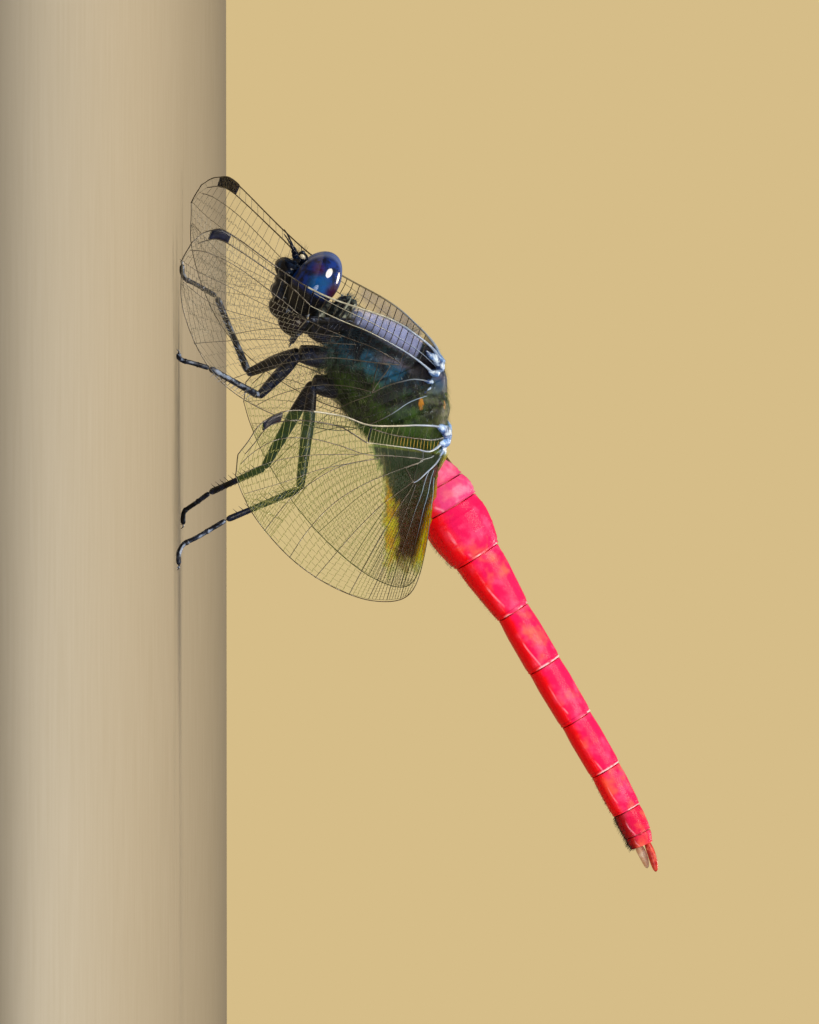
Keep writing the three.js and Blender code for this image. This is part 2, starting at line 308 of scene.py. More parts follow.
@dataclass(frozen=True)
class Lobe:
    """A rounded lump: its middle, its half sizes, and its cells round and along."""

    at: Point
    half: Point
    across: int = 32
    along: int = 24


def heap(frame: Matrix, lobes: Iterable[Lobe]) -> Shape:
    """Rounded lumps as one mesh.

    Args:
        frame: The frame that they are given in.
        lobes: The lumps.

    Returns:
        The mesh.
    """
    shape = bmesh.new()
    for lobe in lobes:
        skin(shape, lobe.across, lobe.along, ball(lobe.at, lobe.half, frame))
    return shape


def turn_out(shape: Shape) -> None:
    """Turns a mesh's faces outward."""
    bmesh.ops.recalc_face_normals(shape, faces=shape.faces)


def sealed(shape: Shape, gap: float = 2e-4) -> Shape:
    """A mesh with its seams and poles merged and its faces turned outward.

    Args:
        shape: The mesh, which is changed.
        gap: How close points lie that are merged.

    Returns:
        The same mesh.
    """
    bmesh.ops.remove_doubles(shape, verts=shape.verts, dist=gap)
    bmesh.ops.dissolve_degenerate(shape, dist=gap, edges=shape.edges)
    turn_out(shape)
    return shape


def thicken(shape: Shape, thickness: float) -> None:
    """Makes an open sheet a closed plate.

    Args:
        shape: The sheet, which is changed.
        thickness: The plate's thickness.
    """
    turn_out(shape)
    bmesh.ops.solidify(shape, geom=shape.faces, thickness=thickness)
    turn_out(shape)


def mesh_of(name: str, shape: Shape) -> bpy.types.Mesh:
    """A shape as a mesh that an object can hold.

    Args:
        name: The mesh's name.
        shape: The shape, which is used up.

    Returns:
        The mesh.
    """
    mesh = bpy.data.meshes.new(name)
    shape.to_mesh(mesh)
    shape.free()
    return mesh


def put(name: str, data: bpy.types.ID) -> bpy.types.Object:
    """A new object in the scene.

    Args:
        name: Its name.
        data: The mesh, curve, light or camera that it holds.

    Returns:
        The object.
    """
    thing = bpy.data.objects.new(name, data)
    bpy.context.scene.collection.objects.link(thing)
    return thing


def worked_out(thing: bpy.types.Object) -> Shape:
    """The shape that an object's modifiers or thickness give it.

    Args:
        thing: The object, which is used up.

    Returns:
        The shape.
    """
    view = bpy.context.evaluated_depsgraph_get()
    mesh = bpy.data.meshes.new_from_object(thing.evaluated_get(view))
    shape = bmesh.new()
    shape.from_mesh(mesh)
    bpy.data.objects.remove(thing)
    bpy.data.meshes.remove(mesh)
    return shape


def fused(shape: Shape, grain: float, rounds: int) -> Shape:
    """Overlapping shells melted into one skin.

    Args:
        shape: The shells, which are used up.
        grain: The size of the new faces.
        rounds: How many times the skin is smoothed.

    Returns:
        The skin.
    """
    mesh = mesh_of("melt", shape)
    body = put("melt", mesh)
    melt = body.modifiers.new("melt", "REMESH")
    melt.mode = "VOXEL"
    melt.voxel_size = grain
    result = worked_out(body)
    bpy.data.meshes.remove(mesh)
    for _ in range(rounds):
        bmesh.ops.smooth_vert(result, verts=result.verts, factor=0.5, use_axis_x=True, use_axis_y=True,
                              use_axis_z=True)
    return result


def spike(shape: Shape, root: Vector, tip: Vector, thick: float, sides: int = 3,
          point: float = 0.12) -> set[bmesh.types.BMFace]:
    """A hair, spine or tuft from its root to its tip.

    Args:
        shape: The mesh that takes it.
        root: Where it grows.
        tip: Its end.
        thick: Its radius at the root.
        sides: Faces round it.
        point: The tip's radius as a share of the root's.

    Returns:
        Its faces.
    """
    run = tip - root
    stand = Matrix.Translation((root + tip) / 2) @ run.to_track_quat("Z", "Y").to_matrix().to_4x4()
    made = bmesh.ops.create_cone(shape, cap_ends=True, segments=sides, radius1=thick,
                                 radius2=thick * point, depth=run.length, matrix=stand)
    return {face for vert in made["verts"] for face in vert.link_faces}


class Coat:
    """Many tufts of hair as one mesh, made in small lots because each cone is slower in a large mesh."""

    LOT = 60

    def __init__(self) -> None:
        """Starts an empty coat."""
        self.whole = bmesh.new()
        self.part = bmesh.new()
        self.waiting = 0
        for shape in (self.whole, self.part):
            shape.loops.layers.uv.new(BAKE)

    def tuft(self, root: Vector, tip: Vector, thick: float, chart: tuple[float, float]) -> None:
        """A tuft of hair with a small patch of its own on the bake map.

        Args:
            root: Where it grows.
            tip: Its end.
            thick: Its radius at the root.
            chart: Its root's place on the skin's own unwrap.
        """
        layer = self.part.loops.layers.uv[BAKE]
        for face in spike(self.part, root, tip, thick):
            for n, corner in enumerate(face.loops):
                corner[layer].uv = (chart[0] + TUFT * (n % 2), chart[1] + TUFT * (n // 2 % 2))
        self.waiting += 1
        if self.waiting >= self.LOT:
            self.gather()

    def gather(self) -> None:
        """Adds the lot in hand to the whole."""
        mesh = bpy.data.meshes.new("lot")
        self.part.to_mesh(mesh)
        self.whole.from_mesh(mesh)
        bpy.data.meshes.remove(mesh)
        self.part.clear()
        if BAKE not in self.part.loops.layers.uv:
            self.part.loops.layers.uv.new(BAKE)
        self.waiting = 0

    def mesh(self) -> Shape:
        """The coat as one mesh.

        Returns:
            The mesh.
        """
        self.gather()
        self.part.free()
        return self.whole


def finished(name: str, shape: Shape, finish: Material,
             stands_for: Iterable[str] = (), crease: float = 40.0) -> bpy.types.Object:
    """A mesh in millimetres made a piece of the part.

    Args:
        name: The piece's name.
        shape: Its mesh, which is used up.
        finish: Its material.
        stands_for: The frame's nodes that it is shown in place of.
        crease: The angle in degrees past which an edge is shown sharp.

    Returns:
        The piece.
    """
    shape.transform(Matrix.Scale(MM, 4) @ Matrix.Translation(SHIFT))
    mesh = mesh_of(name, shape)
    mesh.polygons.foreach_set("use_smooth", [True] * len(mesh.polygons))
    mesh.set_sharp_from_angle(angle=math.radians(crease))
    mesh.materials.append(finish)
    piece = put(name, mesh)
    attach(piece, "root")
    if stands_for:
        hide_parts(*stands_for)
    log.info("%s: %d faces", name, len(mesh.polygons))
    return piece


@dataclass
class Cable:
    """Round threads of changing thickness, such as veins, made as one mesh."""

    lines: list[list[tuple[Vector, float]]] = field(default_factory=list)

    def add(self, points: Iterable[Vector], radii: Iterable[float]) -> None:
        """One more thread, with a radius at each of its points."""
        self.lines.append(list(zip(points, radii)))

    def mesh(self) -> Shape:
        """The threads as one mesh.

        Returns:
            The mesh.
        """
        curve = bpy.data.curves.new("threads", "CURVE")
        curve.dimensions = "3D"
        curve.bevel_depth = 1.0
        curve.bevel_resolution = 1
        curve.use_fill_caps = True
        for line in self.lines:
            thread = curve.splines.new("POLY")
            thread.points.add(len(line) - 1)
            for knot, (point, radius) in zip(thread.points, line):
                knot.co = (*point, 1.0)
                knot.radius = radius
        shape = worked_out(put("threads", curve))
        bpy.data.curves.remove(curve)
        return shape


# ------------ materials


def tone(code: str) -> tuple[float, float, float, float]:
    """A colour as the linear values that a shader takes.

    Args:
        code: The colour, as six hex digits.

    Returns:
        Red, green, blue and an alpha of 1.
    """
    parts = [int(code[i : i + 2], 16) / 255 for i in (0, 2, 4)]
    linear = [p / 12.92 if p <= 0.04045 else ((p + 0.055) / 1.055) ** 2.4 for p in parts]
    return (*linear, 1.0)


class Wiring:
    """The nodes of a material or of the sky, wired as they are asked for."""

    def __init__(self, owner: bpy.types.ID) -> None:
        """Starts with the nodes that the owner has."""
        owner.use_nodes = True
        self.tree = owner.node_tree

    def node(self, kind: str, sockets: dict, output: str | int = 0, **settings: object) -> Socket:
        """One more node.

        Args:
            kind: The node's type, without the word in front.
            sockets: Its inputs, by name or number: a value or another node's output.
            output: Which of its outputs is wanted.
            settings: Its other settings.

        Returns:
            That output.
        """
        made = self.tree.nodes.new("ShaderNode" + kind)
        for key, value in settings.items():
            setattr(made, key, value)
        for key, value in sockets.items():
            if isinstance(value, Socket):
                self.tree.links.new(value, made.inputs[key])
            else:
                made.inputs[key].default_value = value
        return made.outputs[output]

    def axes(self, vector: Socket) -> list[Socket]:
        """The three numbers of a vector."""
        return list(self.node("SeparateXYZ", {0: vector}).node.outputs)

    def ramp(self, value: Value, *stops: tuple[float, str]) -> Socket:
        """A row of colours read by a value.

        Args:
            value: What reads it.
            stops: Each colour with its place on the row.

        Returns:
            The colour there.
        """
        colour = self.node("ValToRGB", {0: value})
        row = colour.node.color_ramp.elements
        while len(row) < len(stops):
            row.new(0.5)
        for stop, (place, code) in zip(row, stops):
            stop.position = place
            stop.color = tone(code)
        return colour


class Recipe(Wiring):
    """One material."""

    def __init__(self, name: str, roughness: float, **fixed: float) -> None:
        """Starts the material.

        Args:
            name: Its name.
            roughness: How rough it is where nothing changes that.
            fixed: Other values of the shader, with _ for a space.
        """
        self.material = bpy.data.materials.new(name)
        super().__init__(self.material)
        self.shader = self.tree.nodes["Principled BSDF"]
        self.shader.inputs["Roughness"].default_value = roughness
        for key, value in fixed.items():
            self.shader.inputs[key.replace("_", " ")].default_value = value

    def wire(self, socket: Socket, name: str) -> None:
        """Wires an output to one of the shader's inputs."""
        self.tree.links.new(socket, self.shader.inputs[name])

    def place(self) -> Socket:
        """The place on the object, in metres."""
        return self.node("TexCoord", {}, "Object")

    def chart(self, name: str) -> list[Socket]:
        """The two shares that a UV map gives."""
        return self.axes(self.node("UVMap", {}, uv_map=name))[:2]

    def local(self, centre: Point = (0, 0, 0)) -> Socket:
        """Millimetres from a centre.

        Args:
            centre: The centre, in the maker's frame.

        Returns:
            The three distances, as a vector.
        """
        centre = tuple((Vector(centre) + SHIFT) * MM)
        moved = self.node("VectorMath", {0: self.place(), 1: centre}, operation="SUBTRACT")
        return self.node("Mapping", {"Vector": moved, "Scale": (1 / MM,) * 3})

    def math(self, operation: str, a: Value, b: Value = 0.0) -> Socket:
        """A sum on two values."""
        return self.node("Math", {0: a, 1: b}, operation=operation)

    def times(self, a: Value, b: Value) -> Socket:
        """The product of two values."""
        return self.math("MULTIPLY", a, b)

    def plus(self, a: Value, b: Value) -> Socket:
        """The sum of two values."""
        return self.math("ADD", a, b)

    def minus(self, a: Value, b: Value) -> Socket:
        """The difference of two values."""
        return self.math("SUBTRACT", a, b)

    def most(self, a: Value, b: Value) -> Socket:
        """The larger of two values."""
        return self.math("MAXIMUM", a, b)

    def fade(self, value: Value, low: float, high: float) -> Socket:
        """A smooth rise from 0 at low to 1 at high."""
        sockets = {"Value": value, "From Min": low, "From Max": high}
        return self.node("MapRange", sockets, interpolation_type="SMOOTHSTEP")

    def spread(self, value: Value, first: float, last: float, low: float = 0.0, high: float = 1.0) -> Socket:
        """A straight change from first at low to last at high."""
        sockets = {"Value": value, "From Min": low, "From Max": high, "To Min": first, "To Max": last}
        return self.node("MapRange", sockets)

    def band(self, value: Value, centre: float, width: float) -> Socket:
        """1 at a centre, fading to 0 at that distance on both sides."""
        away = self.math("ABSOLUTE", self.minus(value, centre))
        return self.fade(away, width, 0.0)

    def grain(self, per_mm: float, detail: float = 3.0, rough: float = 0.55) -> Socket:
        """Cloudy noise with so many clouds to the millimetre."""
        sockets = {"Vector": self.place(), "Scale": per_mm / MM, "Detail": detail, "Roughness": rough}
        return self.node("TexNoise", sockets)

    def drift(self, swing: float, per_mm: float, detail: float = 3.0, rough: float = 0.55) -> Socket:
        """Cloudy noise that swings about zero."""
        return self.times(self.minus(self.grain(per_mm, detail, rough), 0.5), swing)

    def cells(self, per_mm: float, loose: float = 1.0) -> Socket:
        """The distance from the middle of small cells."""
        sockets = {"Vector": self.place(), "Scale": per_mm / MM, "Randomness": loose}
        return self.node("TexVoronoi", sockets, "Distance")

    def blend(self, share: Value, a: Colour, b: Colour) -> Socket:
        """Two colours mixed by a share."""
        a, b = (tone(c) if isinstance(c, str) else c for c in (a, b))
        return self.node("MixRGB", {0: share, 1: a, 2: b})

    def over(self, colour: Colour, share: Value, top: Colour, most: float) -> Socket:
        """A colour with another laid over it, no thicker than most."""
        return self.blend(self.times(share, most), colour, top)

    def bump(self, height: Value, depth: float, strength: float) -> None:
        """Relief of a depth in millimetres."""
        sockets = {"Height": height, "Distance": depth * MM, "Strength": strength}
        self.wire(self.node("Bump", sockets, "Normal"), "Normal")

    def done(self, colour: Socket) -> Material:
        """The finished material with that colour."""
        self.wire(colour, "Base Color")
        return self.material


@dataclass(frozen=True)
class Chitin:
    """Dark hard shell with a soft bloom and fine pits, and where asked a painted highlight on the sides that
    face the lamps.
    """

    name: str
    dark: str
    light: str
    bloom: str
    roughness: float = 0.38
    bloom_share: float = 0.35
    pits_per_mm: float = 22.0
    pit_depth: float = 0.008
    gloss: float = 1.3
    painted_glint: bool = False  # whether a painted highlight in the bloom's colour gathers on what faces up and left, toward the lamps
    coat: float = 0.12
    coat_roughness: float = 0.2

    def material(self) -> Material:
        """Wires the finish.

        Returns:
            The material.
        """
        r = Recipe(self.name, self.roughness, IOR=self.gloss, Coat_Weight=self.coat,
                   Coat_Roughness=self.coat_roughness)
        base = r.blend(r.fade(r.grain(1.3), 0.35, 0.65), self.dark, self.light)
        bloom_and_sheen = r.times(r.fade(r.grain(2.6, 5), 0.48, 0.75), self.bloom_share)
        # painted highlight: the bloom's colour laid on the sides that face up and left, where the key and
        # fill lamps fall
        if self.painted_glint:
            facing = r.axes(r.node("NewGeometry", {}, "Normal"))
            toward = r.plus(r.times(facing[2], 0.6), r.times(facing[0], 0.5))
            edge = r.plus(toward, r.drift(1.4, 1.7, 4))
            bloom_and_sheen = r.most(bloom_and_sheen, r.times(r.fade(edge, 0.58, 0.9), 0.7))
        r.wire(r.spread(r.grain(7, 4), self.roughness * 0.7, self.roughness * 1.5), "Roughness")
        r.bump(r.cells(self.pits_per_mm), self.pit_depth, 0.6)
        return r.done(r.blend(bloom_and_sheen, base, self.bloom))


@dataclass(frozen=True)
class ThoraxFinish:
    """Black at the front, then steel blue, then olive, with pale flecks and amber marks."""

    front: float = -2.0  # where steel blue starts to give way to olive
    rear: float = -0.4  # where it has done so
    foot: float = 9.8  # the height at which the slanting bands are measured
    slope: float = 0.355  # how far the bands run back for each millimetre up
    marks: tuple[tuple[Point, Point], ...] = (  # amber: the middle, and how fast it ends along x, y and z
        ((2.7, 1.9, 16.2), (3.4, 1.5, 3.6)),
        ((1.3, 2.15, 17.9), (2.2, 1.9, 2.8)),
    )

    def material(self) -> Material:
        """Wires the finish.

        Returns:
            The material.
        """
        r = Recipe("thorax shell", 0.5, IOR=1.3, Coat_Weight=0.1, Coat_Roughness=0.3)
        y, z = r.axes(r.local())[1:]
        cloud = r.fade(r.grain(0.9, 4), 0.38, 0.66)
        blue, olive = r.blend(cloud, "071626", "22688e"), r.blend(cloud, "08140a", "38561a")
        slant = r.minus(y, r.times(r.minus(z, self.foot), self.slope))
        colour = r.blend(r.fade(r.plus(slant, r.drift(2.6, 0.6)), self.front, self.rear), blue, olive)
        ragged = r.plus(slant, r.drift(1.4, 1.5, 4))
        colour = r.over(colour, r.fade(ragged, -2.1, -3.1), "0c0914", 0.9)
        # a pale lilac-grey streak below the dark band: partly bloom, partly a painted sheen
        bloom_and_sheen = r.times(r.band(ragged, -2.45, 0.45), r.times(r.fade(z, 12.6, 14.0), 0.5))
        colour = r.blend(bloom_and_sheen, colour, "8c8496")
        tail = r.fade(y, 0.2, 1.6)
        back = r.blend(cloud, r.blend(tail, "12142c", "17160c"), r.blend(tail, "262c4c", "5c5636"))
        colour = r.over(colour, r.fade(z, 15.6, 17.4), back, 0.7)
        for centre, size in self.marks:
            apart = r.node("VectorMath", {0: r.local(centre), 1: size}, operation="MULTIPLY")
            away = r.node("VectorMath", {0: apart}, "Value", operation="LENGTH")
            colour = r.over(colour, r.fade(r.plus(away, r.drift(1.3, 3)), 0.8, 0.4), "c07c12", 0.8)
        long = r.node("Mapping", {"Vector": r.place(), "Scale": (7 / MM, 1.6 / MM, 7 / MM)})
        sockets = {"Vector": long, "Scale": 1.0, "Detail": 3.0, "Roughness": 0.6, "Distortion": 1.4}
        colour = r.over(colour, r.fade(r.node("TexNoise", sockets), 0.64, 0.7), "a9bcc4", 0.6)
        r.bump(r.plus(r.grain(6, 4), r.times(r.cells(9), 0.3)), 0.03, 0.6)
        return r.done(colour)


@dataclass(frozen=True)
class EyeFinish:
    """The compound eye: deep blue with teal, violet and chestnut zones under fine facets, glossiest above,
    with painted shade on its lower rear part and a painted reflection of the sky along its upper inner rim.
    """

    side: Side
    centre: Point
    facets_per_mm: float = 17.0
    zones: tuple[tuple[tuple[float, float], float, str, float], ...] = (  # place, radius, colour and most
        ((-0.05, 0.35), 1.1, "0460a8", 0.6),
        ((-1.1, 0.3), 0.6, "460c3a", 0.55),
        ((0.5, 1.35), 0.85, "3e0a10", 0.85),
    )

    def material(self) -> Material:
        """Wires the finish.

        Returns:
            The material.
        """
        r = Recipe(f"eye {self.side.label}", 0.3, IOR=1.1, Coat_Roughness=0.03, Coat_IOR=2.8)
        x, y, z = r.axes(r.local(self.centre))
        colour = r.blend(r.fade(r.grain(2.2), 0.35, 0.65), "010a30", "032e88")
        for at, size, code, most in self.zones:
            colour = r.over(colour, self.zone(r, y, z, at, size), code, most)
        # painted shade: the lower rear part of the eye, which faces away from the lamps, turns near black
        low = r.plus(r.times(z, -0.4), r.times(y, 0.7))
        colour = r.blend(r.fade(low, 0.12, 0.62), colour, "02030a")
        # a pale periwinkle band on the upper inner rim: mostly a painted reflection of the sky, in part a
        # paler crown
        high = r.plus(r.times(z, 0.5), r.times(y, -0.8))
        inner = r.fade(r.times(x, float(self.side.value)), 0.85, 0.3)
        colour = r.over(colour, r.times(inner, r.fade(high, 0.1, 1.0)), "7f98dc", 0.45)
        facet = r.cells(self.facets_per_mm, 0.35)
        colour = r.over(colour, r.fade(facet, 0.3, 0.75), "02061a", 0.3)
        r.bump(facet, 0.01, 0.3)
        r.wire(r.plus(r.times(r.fade(z, -0.2, 0.6), 0.32), 0.08), "Coat Weight")
        return r.done(colour)

    @staticmethod
    def zone(r: Recipe, y: Socket, z: Socket, at: tuple[float, float], size: float) -> Socket:
        """A soft round zone of the eye seen from its side.

        Args:
            r: The material that it belongs to.
            y: The place toward the tail.
            z: The height.
            at: The middle of the zone.
            size: Its radius.

        Returns:
            1 inside it, fading to 0.
        """
        apart = [r.minus(value, place) for value, place in zip((y, z), at)]
        away = r.math("SQRT", r.plus(*[r.times(value, value) for value in apart]))
        return r.fade(away, size, size * 0.3)


@dataclass(frozen=True)
class TergiteFinish:
    """The abdomen's shell: bright back, redder flank, orange-red belly, a pale bloom, orange patches and a
    pale side line that are painted highlights, and a pale rear lip that is partly one.
    """

    name: str
    back: str
    flank: str
    belly: str
    bloom: str
    bloom_share: float
    # the orange of a painted highlight on the upper side
    glow: str = "ff7a50"

    def material(self) -> Material:
        """Wires the finish.

        Returns:
            The material.
        """
        r = Recipe(self.name, 0.42, IOR=1.14, Coat_Weight=0.1, Coat_Roughness=0.16)
        s, t = r.chart(SHELL)
        girth = r.times(r.math("ABSOLUTE", r.minus(s, 0.5)), 2.0)  # 0 along the back, 1 along the belly
        wave = r.plus(girth, r.drift(0.1, 1.6))
        colour = r.ramp(wave, (0.0, self.back), (0.43, self.back), (0.5, self.flank), (0.7, self.flank),
                        (0.86, self.belly), (1.0, self.belly))
        upper = r.fade(girth, 0.62, 0.4)
        mottle = r.times(r.fade(r.grain(0.8, 4), 0.45, 0.7), self.bloom_share)
        # painted highlight: orange patches on the upper side, where the lamps fall
        painted_orange_highlight = r.times(r.fade(r.grain(0.55), 0.52, 0.72), 0.6)
        broken = r.fade(r.grain(0.9, 2), 0.42, 0.6)
        # painted highlight: a broken pale line along the side carina, stronger toward each segment's rear
        carina_highlight = r.band(r.plus(girth, r.times(r.fade(t, 0.5, 1.0), 0.06)), 0.5, 0.022)
        keel = r.times(carina_highlight, r.times(broken, r.fade(t, 0.25, 0.6)))
        # a broken pale rim at the rear of the upper side: partly the rim's own colour, partly a painted
        # highlight
        lip = r.times(r.times(r.fade(t, 0.95, 0.97), upper), r.fade(broken, 0.1, 0.9))
        for share, top in (
            (r.times(mottle, upper), self.bloom),
            (r.times(painted_orange_highlight, upper), self.glow),
            (r.times(keel, 0.6), "ff9cb0"),
            (r.times(r.band(girth, 0.0, 0.018), 0.35), "a01038"),
            (r.times(r.band(t, 0.935, 0.02), 0.3), "7c0a26"),
            (r.times(lip, 0.8), "ffdce2"),
            (r.times(r.band(girth, 0.8, 0.03), 0.4), "6a0c10"),
        ):
            colour = r.blend(share, colour, top)
        r.wire(r.spread(r.grain(5, 4), 0.32, 0.55), "Roughness")
        r.bump(r.plus(r.grain(9, 4), r.times(r.cells(16), 0.4)), 0.025, 0.7)
        return r.done(colour)


def plan_place(r: Recipe) -> tuple[Socket, Socket]:
    """The place on a wing in millimetres, along its span and back along its chord."""
    across, back = r.chart(PLAN)
    return r.times(across, PLAN_SCALE), r.minus(r.times(back, PLAN_SCALE), PLAN_RISE)


@dataclass(frozen=True)
class MembraneFinish:
    """Clear wing skin, with either a painted pale blue sheen near the front edge or an amber and brown patch
    at its base.
    """

    name: str
    patch: bool

    @staticmethod
    def patched(r: Recipe, u: Socket, v: Socket) -> tuple[Socket, Socket]:
        """The hindwing's skin.

        Args:
            r: The material.
            u: Millimetres along the span.
            v: Millimetres back along the chord.

        Returns:
            Its colour, and how much of what is behind it covers.
        """
        wisp = r.drift(3.4, 1.3, 5, 0.65)
        edge = r.plus(r.plus(u, r.times(v, 0.47)), wisp)
        inner = r.fade(r.minus(u, r.times(v, 0.2)), -0.9, 0.3)
        behind = r.plus(v, wisp)
        low = r.times(r.fade(behind, 10.2, 8.2), r.fade(v, 1.3, 1.7))
        amber = r.times(r.fade(edge, 11.1, 10.1), low)
        brown = r.times(r.times(r.fade(edge, 9.4, 8.0), low), inner)
        upper = r.plus(r.plus(u, r.times(v, 1.6)), wisp)
        upper = r.times(r.fade(upper, 15.2, 13.8), r.fade(v, 1.3, 1.6))
        brown = r.most(brown, r.times(upper, inner))
        clear = r.blend(r.fade(r.grain(0.5), 0.35, 0.65), "64923a", "86a84c")
        honey = r.blend(r.fade(r.grain(1.1), 0.4, 0.6), "aca600", "a47a00")
        deep = r.blend(r.fade(behind, 4.0, 6.5), "0a2404", "301800")
        dense = r.times(brown, r.spread(r.grain(1.0, 4), 0.56, 0.84, 0.35, 0.6))
        cover = r.most(r.spread(r.grain(0.7), 0.02, 0.06), r.most(r.times(amber, 0.6), dense))
        return r.blend(brown, r.blend(amber, clear, honey), deep), cover

    @staticmethod
    def painted_sheen_skin(r: Recipe, u: Socket, v: Socket) -> tuple[Socket, Socket]:
        """The forewing's skin, with a painted pale blue sheen near its front edge.

        Args:
            r: The material.
            u: Millimetres along the span.
            v: Millimetres back along the chord.

        Returns:
            Its colour, and how much of what is behind it covers.
        """
        cast = r.blend(r.fade(r.grain(0.5), 0.35, 0.65), "a89c8a", "b4b09c")
        share = r.times(r.fade(u, 21, 28), 0.07)
        cover = r.times(r.plus(share, 0.008), r.fade(r.grain(0.7), 0.1, 0.9))
        # painted sheen: a pale lavender-blue reflection laid on the inner front of the wing
        painted_sheen = r.times(r.times(r.fade(v, 0.8, -0.2), r.fade(u, 12.5, 9.5)), r.fade(u, 2.4, 3.4))
        painted_sheen = r.times(painted_sheen, r.spread(r.grain(0.9), 0.55, 1.0, 0.3, 0.6))
        shade = r.times(r.fade(u, 3.0, 2.2), r.fade(v, 2.0, 1.5))
        for part, foot, code, most in ((painted_sheen, 0.2, "aeb6e8", 0.36), (shade, 0.1, "120c12", 0.45)):
            cast = r.blend(r.fade(part, 0.0, foot), cast, code)
            cover = r.most(cover, r.times(part, most))
        return cast, cover

    def material(self) -> Material:
        """Wires the finish.

        Returns:
            The material.
        """
        r = Recipe(self.name, 0.5, IOR=1.1)
        cast, cover = (self.patched if self.patch else self.painted_sheen_skin)(r, *plan_place(r))
        r.wire(cover, "Alpha")
        r.bump(r.grain(2), 0.1, 0.8)
        return r.done(cast)


@dataclass(frozen=True)
class VeinFinish:
    """Wing veins: one colour, with another stretch near the body: golden or dark in the net, and pale
    blue-grey on the long veins, partly their own pale bases and partly a painted highlight.
    """

    name: str
    dark: str
    pale: str
    reach: float  # how far out along the span the pale stretch is whole
    soft: float = 2.0  # how far past that it fades out
    rows: tuple[float, float] | None = None  # how far back along the chord the pale stretch lies
    deep: str = ""  # its colour near the body elsewhere

    def material(self) -> Material:
        """Wires the finish.

        Returns:
            The material.
        """
        r = Recipe(self.name, 0.38, IOR=1.35, Coat_Weight=0.2, Coat_Roughness=0.2)
        u, v = plan_place(r)
        near = r.fade(u, self.reach + self.soft, self.reach)
        colour = r.blend(r.fade(u, 9.5, 6.5), self.dark, self.deep) if self.deep else self.dark
        if self.rows:
            near = r.times(near, r.band(v, sum(self.rows) / 2, (self.rows[1] - self.rows[0]) / 2))
        colour = r.blend(near, colour, self.pale)
        colour = r.over(colour, r.fade(r.grain(2), 0.4, 0.8), self.dark, 0.3)
        r.bump(r.grain(12, 2), 0.01, 0.6)
        return r.done(colour)


@dataclass(frozen=True)
class HairFinish:
    """Fine hair, mottled between a darker and a paler colour, and bluer and flecked where it has a colour for
    the front.
    """

    name: str
    root: str
    tip: str
    front: str = ""

    def material(self) -> Material:
        """Wires the finish.

        Returns:
            The material.
        """
        r = Recipe(self.name, 0.6, IOR=1.3, Sheen_Weight=0.1, Sheen_Roughness=0.4)
        y = r.axes(r.local())[1]
        tip = r.blend(r.fade(y, -3.0, 0.5), self.front, self.tip) if self.front else self.tip
        colour = r.blend(r.fade(r.grain(3, 2), 0.35, 0.7), self.root, tip)
        if self.front:
            fleck = r.blend(r.fade(y, -2.5, 0.5), "86b4d6", "a4b074")
            colour = r.over(colour, r.fade(r.grain(2.2, 5, 0.7), 0.57, 0.67), fleck, 0.65)
        r.bump(r.grain(20, 2), 0.01, 0.5)
        return r.done(colour)


class Stretch(Enum):
    """The stretches of the abdomen, which differ in colour."""

    BASE = "base"
    MIDDLE = "middle"
    END = "end"


class Finishes:
    """The finishes that the pieces share."""

    def __init__(self) -> None:
        """Makes every finish once."""
        self.face = Chitin("face shell", "02040c", "0a1226", "2c4a72", 0.34, 0.45, gloss=1.1, coat=0.4,
                           coat_roughness=0.08).material()
        self.mouth = Chitin("mouth shell", "070507", "1a1014", "34343e", 0.42, gloss=1.1, coat=0.35,
                            coat_roughness=0.12).material()
        # the simple eyes' pale cream is partly their own colour and partly a painted glint
        self.ocellus = Chitin("ocellus", "d8d2bd", "f4efe0", "ffffff", 0.08, 0.2, 30, 0.003).material()
        self.thorax = ThoraxFinish().material()
        # the collar's pale bloom also gathers as a painted highlight on the sides that face the lamps
        self.collar = Chitin("collar shell", "05080c", "14202a", "a8b0a0", 0.4, 0.4, 12, painted_glint=True).material()
        # the hinge plates' blue-white is partly their own colour and partly a painted highlight, and the
        # sides facing the lamps take a further painted highlight
        self.sclerite = Chitin("wing base plate", "263c6a", "74a0e0", "e2f2ff", 0.3, 0.8, 9, 0.03,
                               painted_glint=True).material()
        self.leg = Chitin("leg shell", "040509", "0b1020", "22345e", 0.38, 0.45).material()
        # shins and feet: a pale blue-white painted highlight on the sides that face the lamps
        self.shin = Chitin("shin shell", "040509", "0c1226", "a8b8d4", 0.3, 0.15, painted_glint=True).material()
        self.hair = HairFinish("body hair", "0c140c", "55692e", "2f6480").material()
        self.bristle = HairFinish("bristle", "0c0a0a", "2a2420").material()
        self.joint = Chitin("segment membrane", "a01024", "c41c30", "d84058", 0.5, 0.3).material()
        self.cercus = Chitin("cercus shell", "b01c20", "d8402c", "f09070", 0.32, 0.3).material()
        self.epiproct = Chitin("epiproct shell", "d8a078", "f0cba8", "ffe8d0", 0.34, 0.4).material()
        self.abdomen = {
            stretch: TergiteFinish(f"tergite {stretch.value}", *row).material()
            for stretch, row in (
                (Stretch.BASE, ("e8407c", "e61828", "cc1a08", "f4b4cc", 0.4, "f07a84")),
                (Stretch.MIDDLE, ("ee1458", "fa0614", "f82408", "ff6c9c", 0.4)),
                (Stretch.END, ("dc1048", "a80812", "4c0806", "f86a90", 0.25)),
            )
        }


# ------------ head


